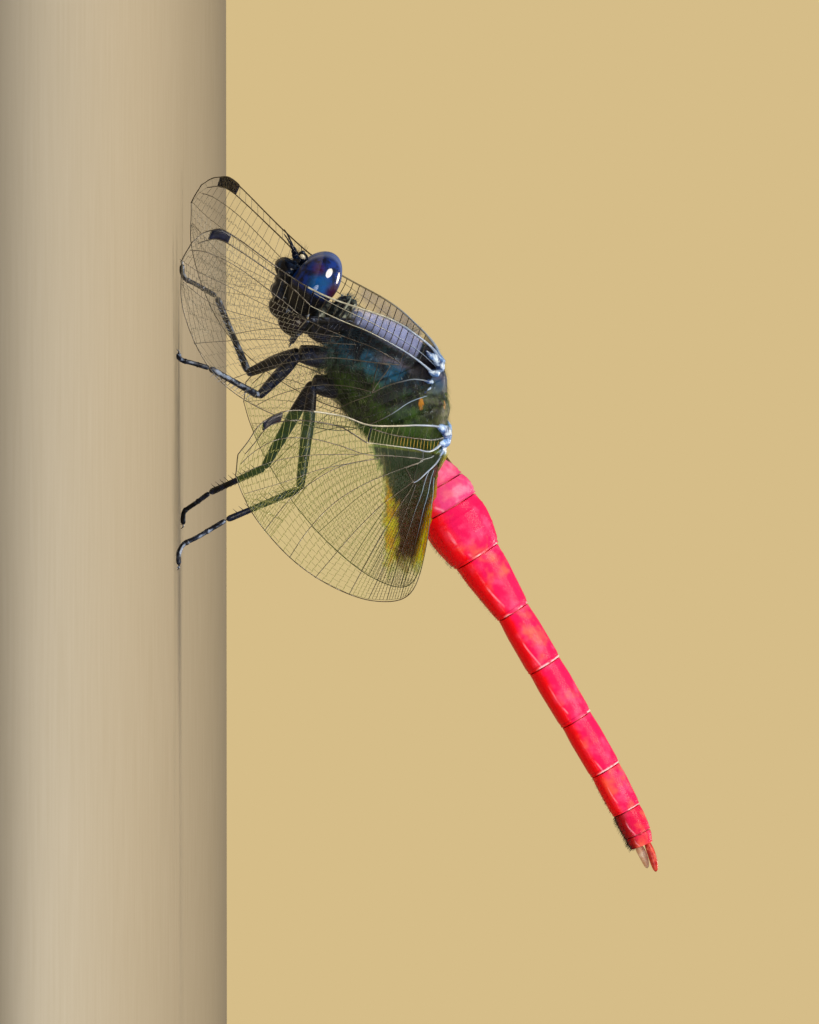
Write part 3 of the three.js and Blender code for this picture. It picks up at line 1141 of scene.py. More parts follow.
@dataclass
class Head:
    """The head: skull with its brow, face, mouth plates, simple eyes, feelers and compound eyes."""

    finishes: Finishes
    centre: Point = (0, -5.97, 9.1)
    pitch: float = math.radians(50)
    skull_lobes: tuple[Lobe, ...] = (
        Lobe((0, -0.2, -0.5), (2.0, 1.12, 2.1)),
        Lobe((0, 0.75, -0.1), (0.95, 0.85, 0.95)),
        Lobe((0, 0.45, 1.3), (0.5, 0.3, 0.45)),
        Lobe((0, 1.68, 0.52), (0.5, 0.48, 0.6)),
        Lobe((0.22, 1.85, 0.9), (0.2, 0.22, 0.28)),
        Lobe((-0.22, 1.85, 0.9), (0.2, 0.22, 0.28)),
        Lobe((0.45, 1.85, -0.5), (1.0, 1.02, 0.72)),
        Lobe((-0.45, 1.85, -0.5), (1.0, 1.02, 0.72)),
        Lobe((0, 1.15, -1.35), (1.55, 1.15, 0.55)),
        Lobe((0, 1.0, -1.95), (1.6, 1.1, 0.6)),
    )
    upper_lip: Lobe = Lobe((0, 0.62, -2.75), (1.45, 0.92, 0.7), 40, 26)
    lower_lip: tuple[Lobe, ...] = (
        Lobe((0.82, -0.55, -2.98), (0.92, 1.02, 0.82), 32, 22),
        Lobe((1.28, 0.42, -2.45), (0.34, 0.75, 0.7), 20, 14),
        Lobe((-0.82, -0.55, -2.98), (0.92, 1.02, 0.82), 32, 22),
        Lobe((-1.28, 0.42, -2.45), (0.34, 0.75, 0.7), 20, 14),
        Lobe((0, -0.7, -2.9), (0.55, 0.9, 0.85), 26, 18),
    )
    simple_eyes: tuple[Lobe, ...] = (
        Lobe((0, 2.1, 0.2), (0.2, 0.14, 0.2), 22, 16),
        Lobe((0.4, 1.74, 0.82), (0.17, 0.2, 0.17), 22, 16),
        Lobe((-0.4, 1.74, 0.82), (0.17, 0.2, 0.17), 22, 16),
    )
    patches: tuple[tuple[Point, Point, int, float], ...] = (  # bristles: middle, half sizes, count and length
        ((0, 1.72, 0.75), (0.5, 0.4, 0.55), 55, 0.75),
        ((0, 1.85, -0.5), (1.4, 1.0, 0.7), 70, 0.4),
        ((0, 1.0, -1.95), (1.6, 1.05, 0.6), 45, 0.35),
        ((0, 0.6, -2.75), (1.45, 0.9, 0.7), 60, 0.4),
        ((0, -0.5, -3.0), (1.6, 1.0, 0.85), 50, 0.4),
    )
    bristle: float = 0.012  # radius at the root
    seed: int = 11  # of the bristles
    eye_offset: float = 1.57
    eye_half: Point = (1.91, 1.5, 2.25)
    seam: float = 0.04  # how far each eye stays from the middle
    feeler_joints: tuple[tuple[float, float, tuple[float, ...]], ...] = (  # first and last share, and radii
        (0.0, 0.17, (0.19, 0.22, 0.18)),
        (0.14, 0.31, (0.14, 0.17, 0.12)),
        (0.29, 0.56, (0.075, 0.07, 0.06)),
        (0.54, 0.8, (0.062, 0.055, 0.045)),
        (0.78, 1.0, (0.046, 0.038, 0.02)),
    )

    def __post_init__(self) -> None:
        """Sets the head's own frame: sideways, forward, up."""
        forward = Vector((0, -math.cos(self.pitch), -math.sin(self.pitch)))
        up = Vector((0, -math.sin(self.pitch), math.cos(self.pitch)))
        turn = Matrix((Vector((1, 0, 0)), forward, up)).transposed().to_4x4()
        self.frame = Matrix.Translation(self.centre) @ turn
        self.turn = self.frame.to_3x3()
        self.back = self.frame.inverted()

    def skull(self) -> None:
        """Cranium, vertex, frons and clypeus melted into one shell, with furrows."""
        shape = fused(sealed(heap(self.frame, self.skull_lobes)), grain=0.06, rounds=3)
        shape.normal_update()
        for vert in shape.verts:
            side, forward, up = self.back @ vert.co
            dent = 0.07 * ridge(side, 0, 0.16) * smoothstep(forward, 1.9, 2.3) * ridge(up, -0.5, 0.6)
            dent += 0.05 * ridge(up, -1.62, 0.07) * smoothstep(forward, 0.8, 1.4)
            dent += 0.035 * noise.noise(vert.co * 2.2) + 0.012 * noise.noise(vert.co * 6.5)
            vert.co -= vert.normal * dent
        finished("skull", shape, self.finishes.face, ["head"])

    def mouth(self) -> None:
        """Upper lip, jaws beside it and the two-lobed lower lip."""
        lip = heap(self.frame, [self.upper_lip])
        for vert in lip.verts:
            side, forward, _ = self.back @ vert.co
            fold = 0.08 * ridge(side, 0, 0.2) * smoothstep(forward, 0.9, 1.4)
            vert.co -= self.turn @ Vector((0, 0.6, -0.8)) * fold
        finished("labrum_plate", sealed(lip), self.finishes.mouth, ["labrum"])
        lower = heap(self.frame, self.lower_lip)
        finished("labium_lobes", sealed(lower), self.finishes.mouth, ["labium"])

    def ocelli(self) -> None:
        """The three simple eyes round the vertex, pale cream, partly their own colour and partly a painted
        glint.
        """
        shape = heap(self.frame, self.simple_eyes)
        finished("ocelli", sealed(shape), self.finishes.ocellus)

    def bristles(self) -> None:
        """Stiff dark hair on the vertex, the frons and the lips."""
        draw = random.Random(self.seed)
        shape = bmesh.new()
        for at, half, count, length in self.patches:
            for _ in range(count):
                out = bearing(draw.uniform(0.1, math.pi - 0.1), draw.uniform(-0.9, 0.9))
                root = self.frame @ (Vector(at) + Vector([o * h * 0.98 for o, h in zip(out, half)]))
                stray = Vector((draw.uniform(-0.4, 0.4), 0.25, draw.uniform(-0.1, 0.6)))
                lean = (self.turn @ (out + stray)).normalized()
                spike(shape, root, root + lean * length * draw.uniform(0.45, 0.95), self.bristle)
        finished("face_bristles", shape, self.finishes.bristle, crease=80)

    def eyes(self) -> None:
        """The two compound eyes, flat where they meet, with a rim behind."""
        for side in Side:
            at = (side.value * self.eye_offset, 0, 0)
            centre = self.frame @ Vector(at)
            place = ball(at, self.eye_half, self.frame)

            def lens(s: float, t: float) -> Vector:
                """A point of the eye, kept on its own side of the seam.

                Args:
                    s: The share round.
                    t: The share along.

                Returns:
                    The point.
                """
                point = place(s, t)
                point.x = side.value * max(side.value * point.x, self.seam)
                return point

            shape = bmesh.new()
            skin(shape, 72, 48, lens)
            for vert in shape.verts:
                from_middle = self.turn.transposed() @ (vert.co - centre)
                notch = 0.06 * ridge(from_middle.z, -0.5, 0.5) * smoothstep(-from_middle.y, 0.9, 1.4)
                vert.co += self.turn @ Vector((0, 1, 0)) * notch
            finish = EyeFinish(side, tuple(centre)).material()
            finished(f"compound_eye_{side.label}", sealed(shape), finish, [f"eye_{side.label}"])

    def feelers(self) -> None:
        """The short bristle-like antennae, each on its two thick first joints."""
        for side in Side:
            knots = [(side.value * (0.7 + 1.52 * t), 2.05 + 1.72 * t, 0.52 + 0.78 * t + 0.1 * math.sin(3 * t))
                     for t in (0, 0.16, 0.3, 0.55, 0.8, 1.0)]
            line = Course([self.frame @ Vector(knot) for knot in knots])
            shape = bmesh.new()
            for first, last, radii in self.feeler_joints:
                skin(shape, 12, 14, pod(line.part(first, last), radii, ends=0.2))
            name = f"feeler_{side.label}"
            finished(name, sealed(shape), self.finishes.face, [f"antenna_{side.label}"])

    def build(self) -> None:
        """Makes every piece of the head."""
        self.skull()
        self.mouth()
        self.ocelli()
        self.bristles()
        self.eyes()
        self.feelers()


# ------------ thorax


@dataclass
class Thorax:
    """The humped middle of the body with its collar, seams, wing plates and hair."""

    finishes: Finishes
    back: tuple[Point, ...] = (
        (-4.5, 12.7), (-3.3, 14.8), (-1.1, 17.3), (1.9, 18.15), (4.6, 18.3), (6.5, 17.7),
    )
    belly: tuple[Point, ...] = ((-1.7, 9.5), (0.2, 9.35), (1.7, 10.35), (3.3, 11.6), (5.0, 12.9), (6.8, 15.0))
    half_width: tuple[float, ...] = (1.9, 2.75, 3.1, 3.1, 2.75, 1.9)
    waist: float = 0.56  # where it is widest, as a share of the way from back to belly
    square: float = 2.4  # 2 for an elliptic section, more for a squarer one
    depth: float = 0.12  # how far the skin lies inside the solid, to leave room for the hair
    hairs: int = 9000
    seed: int = 5  # of the hair
    collar_at: Point = (0, -3.75, 10.7)
    collar_pitch: float = math.radians(56)
    collar_lobes: tuple[Lobe, ...] = (
        Lobe((0, 0, 0), (1.42, 0.85, 1.65), 44, 30),
        Lobe((0, 0.38, 0.95), (1.2, 0.34, 0.62), 36, 16),
        Lobe((0, -0.55, 0.25), (1.15, 0.26, 1.0), 36, 16),
        Lobe((0, -0.9, 0), (0.58, 0.75, 0.58), 28, 20),
        Lobe((0, -1.1, -0.85), (1.1, 0.6, 0.75), 28, 20),
        Lobe((0, -1.2, -1.7), (0.8, 0.45, 0.62), 24, 16),
    )
    collar_hair: Point = (1.38, 0.82, 1.6)  # half sizes of the ball that it grows on

    def __post_init__(self) -> None:
        """Sets the collar's own frame, tipped forward with the neck."""
        self.frame = Matrix.Translation(self.collar_at) @ Matrix.Rotation(self.collar_pitch, 4, "X")

    def surface(self, s: float, t: float) -> Vector:
        """A point of the bare skin.

        Args:
            s: The share round, with the back in the middle and the belly at both ends.
            t: The share from front to rear.

        Returns:
            The point.
        """
        angle = TURN * (s - 0.5)
        top, bottom = catmull(self.back, t), catmull(self.belly, t)
        middle = top.lerp(bottom, self.waist)
        full = math.sin(math.pi * min(max(t, 1e-6), 1 - 1e-6)) ** 0.42
        across = signed_power(math.sin(angle), 2 / self.square) * full
        upright = signed_power(math.cos(angle), 2 / self.square) * full
        point = middle.lerp(top if upright > 0 else bottom, abs(upright))
        return Vector((across * eased(self.half_width, t), point.x, point.y))

    def relief(self, point: Vector, normal: Vector) -> float:
        """How far the skin is pushed in at a point: seams between the plates and hollows under the wings.

        Args:
            point: The point of the smooth skin.
            normal: The way out of it.

        Returns:
            The depth in millimetres, below zero where the skin swells.
        """
        middle, y, z = abs(point.x), point.y, point.z
        flank = smoothstep(abs(normal.x), 0.35, 0.7)
        slant = y - 0.42 * (17.0 - z)
        seams = sum(ridge(slant, place, 0.09) * deep
                    for place, deep in ((-3.1, 0.1), (-1.15, 0.16), (0.7, 0.12), (2.35, 0.15)))
        dent = flank * seams * smoothstep(z, 9.6, 10.6)
        top = smoothstep(normal.z, 0.3, 0.7)
        dent += top * 0.16 * (ridge(y, 1.55, 0.16) + ridge(y, -0.9, 0.12) + ridge(y, 3.9, 0.15))
        dent += top * 0.12 * ridge(middle, 0.75, 0.1)
        dent -= top * 0.16 * ridge(middle, 0, 0.55) * (ridge(y, 2.5, 0.5) + ridge(y, 0.3, 0.7))
        dent += 0.22 * ridge(z, 16.6, 0.5) * flank * (ridge(y, 0.2, 1.1) + ridge(y, 5.0, 0.9))
        hump = sum(ridge(y, place, half) for place, half in ((0.15, 0.85), (4.75, 0.9)))
        dent -= 0.5 * ridge(middle, 1.7, 0.5) * smoothstep(normal.z, 0.1, 0.45) * hump
        for place in (0.55, 3.0, 5.1):
            dent -= 0.14 * top * ridge(middle, 0.85, 0.28) * ridge(y, place, 0.42)
        crest = smoothstep(-normal.y, 0.25, 0.6) * ridge(point.x, 0, 0.13) * smoothstep(z, 13.0, 14.0)
        return dent - 0.14 * crest + 0.035 * noise.noise(point * 1.1)

    def skin(self) -> None:
        """The shell of the thorax itself."""
        shape = bmesh.new()
        skin(shape, 150, 110, self.surface)
        sealed(shape)
        shape.normal_update()
        moves = [vert.normal * -(self.depth + self.relief(vert.co, vert.normal)) for vert in shape.verts]
        for vert, move in zip(shape.verts, moves):
            vert.co += move
        finished("thorax_shell", shape, self.finishes.thorax, ["thorax"])

    def collar(self) -> None:
        """The prothorax with its raised rear lobe, and the neck."""
        shape = fused(sealed(heap(self.frame, self.collar_lobes)), grain=0.06, rounds=2)
        back = self.frame.inverted()
        shape.normal_update()
        for vert in shape.verts:
            spot = back @ vert.co
            dent = 0.09 * ridge(spot.y, 0.12, 0.09) + 0.08 * ridge(spot.y, -0.33, 0.08)
            dent += 0.07 * ridge(spot.x, 0, 0.12) * smoothstep(spot.z, 0.3, 0.9)
            vert.co -= vert.normal * (0.05 + dent + 0.04 * noise.noise(vert.co * 1.7))
        finished("collar_shell", shape, self.finishes.collar, ["prothorax"])

    def body_tuft(self, coat: Coat, draw: random.Random, spot: tuple[float, float], long: float) -> None:
        """One tuft that lies back along the thorax.

        Args:
            coat: The coat that takes it.
            draw: The source of its unevenness.
            spot: Its place on the skin, as shares round and along.
            long: How much longer it is than most.
        """
        s, t = spot
        here = self.surface(s, t)
        around = self.surface(min(s + 0.01, 1), t) - self.surface(max(s - 0.01, 0), t)
        onward = self.surface(s, min(t + 0.01, 1)) - self.surface(s, max(t - 0.01, 0))
        out = onward.cross(around)
        if out.length < 1e-6:
            return
        out.normalize()
        if out.dot(here - Vector((0, 1.0, 14.0))) < 0:
            out.negate()
        under = smoothstep(-out.z, 0.0, 0.6)
        over = smoothstep(out.z, 0.1, 0.7) * smoothstep(here.y, 0.5, -2.5)
        length = draw.uniform(0.4, 0.75) * (1 + 0.5 * under + 0.35 * over) * long
        lay = (onward.normalized() * 0.9 + out * draw.uniform(0.2, 0.6 + 0.9 * over) * long
               + around.normalized() * draw.uniform(-0.35, 0.35))
        root = here - out * (self.depth + 0.04)
        coat.tuft(root, root + lay.normalized() * length, draw.uniform(0.007, 0.012), spot)

    def collar_tuft(self, coat: Coat, draw: random.Random) -> None:
        """One short tuft on the collar.

        Args:
            coat: The coat that takes it.
            draw: The source of its unevenness.
        """
        turn, tall = TURN * draw.random(), draw.uniform(-0.5, 1.0)
        out = bearing(turn, tall)
        root = self.frame @ Vector([a * b for a, b in zip(out, self.collar_hair)])
        lay = self.frame.to_3x3() @ (out + Vector((0, 0.5, 0.4)))
        tip = root + lay.normalized() * draw.uniform(0.2, 0.45)
        coat.tuft(root, tip, draw.uniform(0.006, 0.01), (turn / TURN, tall * 0.1 + 0.9))

    def hair(self) -> None:
        """The coat: tufts everywhere, long ones in front and at the throat, and short ones on the collar."""
        draw = random.Random(self.seed)
        coat = Coat()
        spots = [(draw.random(), 0.04 + 0.92 * draw.random()) for _ in range(self.hairs)]
        spots += [(draw.uniform(0.28, 0.72), draw.uniform(0.02, 0.27)) for _ in range(self.hairs // 6)]
        spots += [(draw.choice((draw.uniform(0, 0.16), draw.uniform(0.84, 1))), draw.uniform(0.01, 0.16))
                  for _ in range(self.hairs // 10)]
        for n, spot in enumerate(spots):
            self.body_tuft(coat, draw, spot, 1.8 if n >= self.hairs else 1.0)
        for _ in range(self.hairs // 18):
            self.collar_tuft(coat, draw)
        finished("thorax_hair", coat.mesh(), self.finishes.hair, crease=80)

    def build(self) -> None:
        """Makes every piece of the thorax."""
        self.skin()
        self.collar()
        self.hair()


# ------------ abdomen


@dataclass(frozen=True)
class Segment:
    """One segment: its length and slope, the size of its rear end, and how far it bulges before that."""

    length: float
    pitch: float  # degrees
    height: float
    width: float
    swelling: float = 0.0


@dataclass(frozen=True)
class Joint:
    """The end of one segment, in the upright plane through the body."""

    middle: Vector
    heading: Vector
    height: float
    width: float

    @property
    def upward(self) -> Vector:
        """The way up across the segment."""
        return Vector((-self.heading.y, self.heading.x))


@dataclass
class Abdomen:
    """The ten segments of the abdomen and the appendages at its tip."""

    finishes: Finishes
    root: tuple[float, float] = (6.45, 16.55)
    row: tuple[Segment, ...] = (  # the stalk in the thorax, then the ten
        Segment(0, 28, 2.9, 2.9),
        Segment(1.3, 28, 3.95, 3.7),
        Segment(1.65, 28, 4.3, 4.0, 0.03),
        Segment(3.75, 31, 3.4, 3.3, 0.1),
        Segment(4.45, 33, 2.35, 2.7),
        Segment(4.15, 30.2, 2.4, 2.75),
        Segment(4.2, 30.5, 2.25, 2.7),
        Segment(3.9, 30, 2.15, 2.6),
        Segment(3.05, 27.7, 2.0, 2.3),
        Segment(1.75, 25, 1.9, 2.0),
        Segment(0.95, 21, 1.5, 1.5),
    )
    rim: float = 0.95  # a segment's front edge, as a share of its size
    keel: float = 1 / 3  # share of the height that lies below the widest place
    seed: int = 23  # of the hair
    hairy: tuple[tuple[int, int, float], ...] = (  # segment, hairs and length
        (1, 160, 0.45),
        (2, 260, 0.4),
        (3, 300, 0.26),
        (4, 160, 0.2),
        (8, 160, 0.18),
        (9, 260, 0.28),
        (10, 200, 0.28),
    )

    def __post_init__(self) -> None:
        """Works out the ends of the segments, from the thorax back."""
        point, self.joints = Vector(self.root), []
        for i, segment in enumerate(self.row):
            slope = math.radians(segment.pitch)
            point = point + Vector((math.cos(slope), math.sin(slope))) * segment.length
            ahead = self.row[min(i + 1, len(self.row) - 1)].pitch
            lean = math.radians((segment.pitch + ahead) / 2)
            heading = Vector((math.cos(lean), math.sin(lean)))
            self.joints.append(Joint(point, heading, segment.height, segment.width))

    def surface(self, number: int) -> Place:
        """The skin of one segment.

        Args:
            number: Its number, counted from the thorax.

        Returns:
            The skin, as a place for skin().
        """
        front, rear = self.joints[number - 1], self.joints[number]
        swelling = self.row[number].swelling
        length = (rear.middle - front.middle).length
        lap = 0.03 if number == 10 else -0.09  # each rear edge lies over the next segment's front
        ribs = {2: (0.5,), 3: (0.22, 0.6), 4: (0.18,)}.get(number, ())

        def place(s: float, t: float) -> Vector:
            """A point of the segment's skin.

            Args:
                s: The share round, with the back in the middle.
                t: The share along.

            Returns:
                The point.
            """
            angle = TURN * (s - 0.5)
            heading = front.heading.lerp(rear.heading, t).normalized()
            upward = Vector((-heading.y, heading.x))
            size = (self.rim + (1 - self.rim) * min(1, 3 * t)) * (1 + swelling * math.sin(math.pi * t))
            size *= 1 - 0.035 * ridge(t * length, length - 0.22, 0.12) - 0.012 * ridge(t, 0.1, 0.08)
            size *= 1 + 0.012 * sum(ridge(t * length, rib * length, 0.07) for rib in ribs)
            ends = min(t, 1 - t) * length
            size *= 0.0 if ends < 1e-6 else 1 - 0.05 * ridge(ends, 0, 0.05)
            height = (front.height + (rear.height - front.height) * t) * size
            width = (front.width + (rear.width - front.width) * t) * size
            across, upright = math.sin(angle), math.cos(angle)
            power, share = (1.08, 1 - self.keel) if upright > 0 else (0.8, self.keel)
            rise = signed_power(upright, power) * share
            crest = 0.012 * ridge(angle, 0, 0.05)
            flange = 1 + 0.012 * ridge(abs(upright), 0, 0.07) - 0.03 * ridge(upright, -0.55, 0.08)
            lift = (rise - 0.5 + self.keel + crest) * height
            point = front.middle.lerp(rear.middle, t) + heading * (0.03 - (0.03 + lap) * t) + upward * lift
            return Vector((across * flange * width / 2, point.x, point.y))

        return place

    def segments(self) -> None:
        """The ten tergites, each in place of its own node."""
        for number in range(1, len(self.joints)):
            shape = bmesh.new()
            steps = max(16, int(self.row[number].length * 14))
            skin(shape, 96, steps, self.surface(number))
            stretch = Stretch.BASE if number < 3 else Stretch.MIDDLE if number < 9 else Stretch.END
            finish = self.finishes.abdomen[stretch]
            finished(f"tergite_{number}", sealed(shape), finish, [f"abdomen_{number}"])

    def membranes(self) -> None:
        """The soft dark rings between the segments."""
        shape = bmesh.new()
        for joint in self.joints[1:-1]:
            axis = Course([Vector((0, *(joint.middle + joint.heading * step))) for step in (-0.35, 0, 0.35)])
            skin(shape, 40, 12, pod(axis, [joint.width * 0.44] * 2, 0.8 * joint.height / joint.width, 0.35))
        finished("segment_membranes", sealed(shape), self.finishes.joint)

    def hair(self) -> None:
        """Short hair under the first segments and under the tip."""
        draw = random.Random(self.seed)
        coat = Coat()
        for number, count, length in self.hairy:
            place = self.surface(number)
            front, rear = self.joints[number - 1], self.joints[number]
            for _ in range(count):
                s, t = draw.choice((draw.uniform(0, 0.2), draw.uniform(0.8, 1))), draw.uniform(0.03, 0.95)
                root = place(s, t)
                out = (root - Vector((0, *front.middle.lerp(rear.middle, t)))).normalized()
                lay = out + Vector((draw.uniform(-0.3, 0.3), rear.heading.x * 0.7, rear.heading.y * 0.7))
                tip = root + lay.normalized() * length * draw.uniform(0.6, 1.1)
                coat.tuft(root - out * 0.04, tip, 0.01, (s, (number - 1 + t) / 10))
        finished("abdomen_hair", coat.mesh(), self.finishes.bristle, crease=80)

    def appendages(self) -> None:
        """The two cerci and the epiproct under them."""
        tail = self.joints[-1]
        cercus = (0.4, 1.9, (0.2, 0.26, 0.25, 0.16), 17, self.finishes.cercus)
        for name, offset, (lift, length, radii, pitch, finish) in (
            ("cercus_left", 0.36, cercus),
            ("cercus_right", -0.36, cercus),
            ("epiproct", 0.0, (-0.22, 1.5, (0.27, 0.29, 0.24, 0.14), 22, self.finishes.epiproct)),
        ):
            slope = math.radians(pitch)
            start = tail.middle + tail.upward * lift
            line = [Vector((offset, start.x + math.cos(slope) * length * t,
                            start.y + math.sin(slope) * length * t + 0.06 * math.sin(math.pi * t)))
                    for t in (-0.12, 0.3, 0.7, 1.0)]
            shape = bmesh.new()
            skin(shape, 28, 40, pod(Course(line), radii, ends=0.16))
            finished(f"{name}_spindle", sealed(shape), finish, [name])

    def build(self) -> None:
        """Makes every piece of the abdomen."""
        self.segments()
        self.membranes()
        self.hair()
        self.appendages()


# ------------ wings


class Look(Enum):
    """How a long vein is drawn."""

    DARK = "dark"
    FAINT = "faint"  # pale and thin all along
    BRIGHT = "bright"  # pale, and swollen at the root


@dataclass(frozen=True)
class Vein:
    """A long vein: its course on the plan, and how thick it is at its root and at its end."""

    course: tuple[Point, ...]
    thick: float = 0.05
    thin: float = 0.05
    look: Look = Look.DARK


@dataclass(frozen=True)
class Strip:
    """A strip of small cells between stretches of two long veins, each with its first and last share."""

    upper: tuple[str, float, float]
    lower: tuple[str, float, float]
    columns: int
    rows: int = 1


@dataclass(frozen=True)
class WingPlan:
    """One wing's outline, set and veins, in millimetres along the span and back along the chord."""

    name: str
    root: Point
    droop: float  # degrees that the span falls toward the tip
    sweep: float  # degrees that it runs forward
    fall: float  # degrees that the chord falls toward the rear edge
    tip_lift: float
    leading: tuple[Point, ...]
    trailing: tuple[Point, ...]
    veins: dict[str, Vein]
    strips: tuple[Strip, ...]
    stigma: tuple[float, float]
    nodus: float
    ladder: tuple[float, float, int]  # cross veins behind the front edge: first, last and count
    pale_costa: float
    patch: bool


FOREWING = WingPlan(
    name="forewing",
    root=(1.85, -0.62, 17.45),
    droop=29.9,
    sweep=23.8,
    fall=14.5,
    tip_lift=1.55,
    leading=((0, 0), (1.3, -0.6), (4, -0.9), (8, -0.9), (17.2, 0.1), (29.3, 0.05), (32.2, 0.7), (34.1, 2.1)),
    trailing=((-0.7, 1.8), (1.6, 3.2), (4.6, 5.6), (9, 7.5), (17.5, 8.7), (25, 8.4), (31.5, 6.2),
              (34.4, 3.6)),
    veins={
        "subcosta": Vein(((0.2, 0.3), (2.4, 0.0), (5.1, -0.15), (9.1, -0.1), (13.6, 0.15), (17.2, 0.25)),
                         0.075, 0.05, Look.FAINT),
        "radius": Vein(((0.2, 0.75), (2.4, 0.52), (5.1, 0.43), (9.1, 0.52), (11.4, 0.72), (13.6, 0.89),
                        (16.7, 1.07)), 0.14, 0.085, Look.BRIGHT),
        "outer_radius": Vein(((16.7, 1.07), (18.3, 0.85), (20.5, 0.66), (23.5, 0.6), (27.7, 0.62),
                              (30.8, 0.85), (33.2, 1.9)), 0.085, 0.055),
        "sector": Vein(((4.4, 1.25), (8, 1.3), (12, 1.7), (16.7, 2.0), (21, 1.75), (27, 1.6), (31.5, 2.0),
                        (33.9, 2.6)), 0.055, 0.04),
        "second": Vein(((16.7, 2.05), (21, 2.6), (27, 3.0), (31.5, 3.4), (34.3, 3.5)), 0.04, 0.03),
        "between": Vein(((12, 1.8), (17, 2.9), (22, 3.7), (28, 4.6), (33.2, 4.6)), 0.04, 0.03),
        "third": Vein(((10, 1.7), (15, 3.1), (20, 4.5), (25, 6.2), (28.6, 7.5)), 0.04, 0.03),
        "media": Vein(((4.4, 1.4), (8, 2.3), (12, 3.3), (16, 4.8), (20, 6.7), (23.2, 8.55)), 0.055, 0.035),
        "rear_media": Vein(((6.2, 3.9), (9.5, 4.5), (13, 5.6), (16.4, 7.3), (18.4, 8.7)), 0.045, 0.035),
        "cubitus": Vein(((6.2, 4.1), (8, 5.2), (9.8, 6.5), (11.2, 7.95)), 0.05, 0.035),
        "anal": Vein(((0.2, 1.3), (2.4, 1.8), (4.6, 2.9), (6.2, 4.0)), 0.085, 0.05),
        "stalk": Vein(((4.4, 0.45), (4.4, 1.3)), 0.07, 0.05),
        "triangle_front": Vein(((5.4, 1.75), (6.9, 2.0))),
        "triangle_rear": Vein(((5.4, 1.75), (6.2, 3.95))),
        "triangle_side": Vein(((6.9, 2.0), (6.2, 3.95))),
    },
    strips=(
        Strip(("costa", 0.5, 0.985), ("outer_radius", 0, 1), 17),
        Strip(("radius", 0.26, 1), ("sector", 0, 0.41), 9),
        Strip(("outer_radius", 0, 1), ("sector", 0.41, 1), 19),
        Strip(("sector", 0.41, 1), ("second", 0, 1), 26, 2),
        Strip(("sector", 0.26, 0.41), ("between", 0, 0.24), 5),
        Strip(("second", 0, 1), ("between", 0.24, 1), 26, 3),
        Strip(("between", 0, 1), ("third", 0.13, 1), 30, 4),
        Strip(("sector", 0, 0.2), ("media", 0, 0.3), 6),
        Strip(("third", 0, 1), ("media", 0.28, 1), 28, 3),
        Strip(("media", 0.1, 1), ("rear_media", 0, 1), 22, 4),
        Strip(("rear_media", 0, 1), ("cubitus", 0, 1), 14, 4),
        Strip(("radius", 0.02, 0.3), ("anal", 0.02, 0.8), 4),
        Strip(("anal", 0.05, 1), ("hind", 0.03, 0.22), 13, 4),
        Strip(("cubitus", 0, 1), ("hind", 0.22, 0.345), 10, 3),
        Strip(("between", 1, 0.4), ("hind", 0.955, 0.81), 16, 4),
    ),
    stigma=(29.3, 31.8),
    nodus=17.2,
    ladder=(2.6, 16.2, 18),
    pale_costa=17.2,
    patch=False,
)

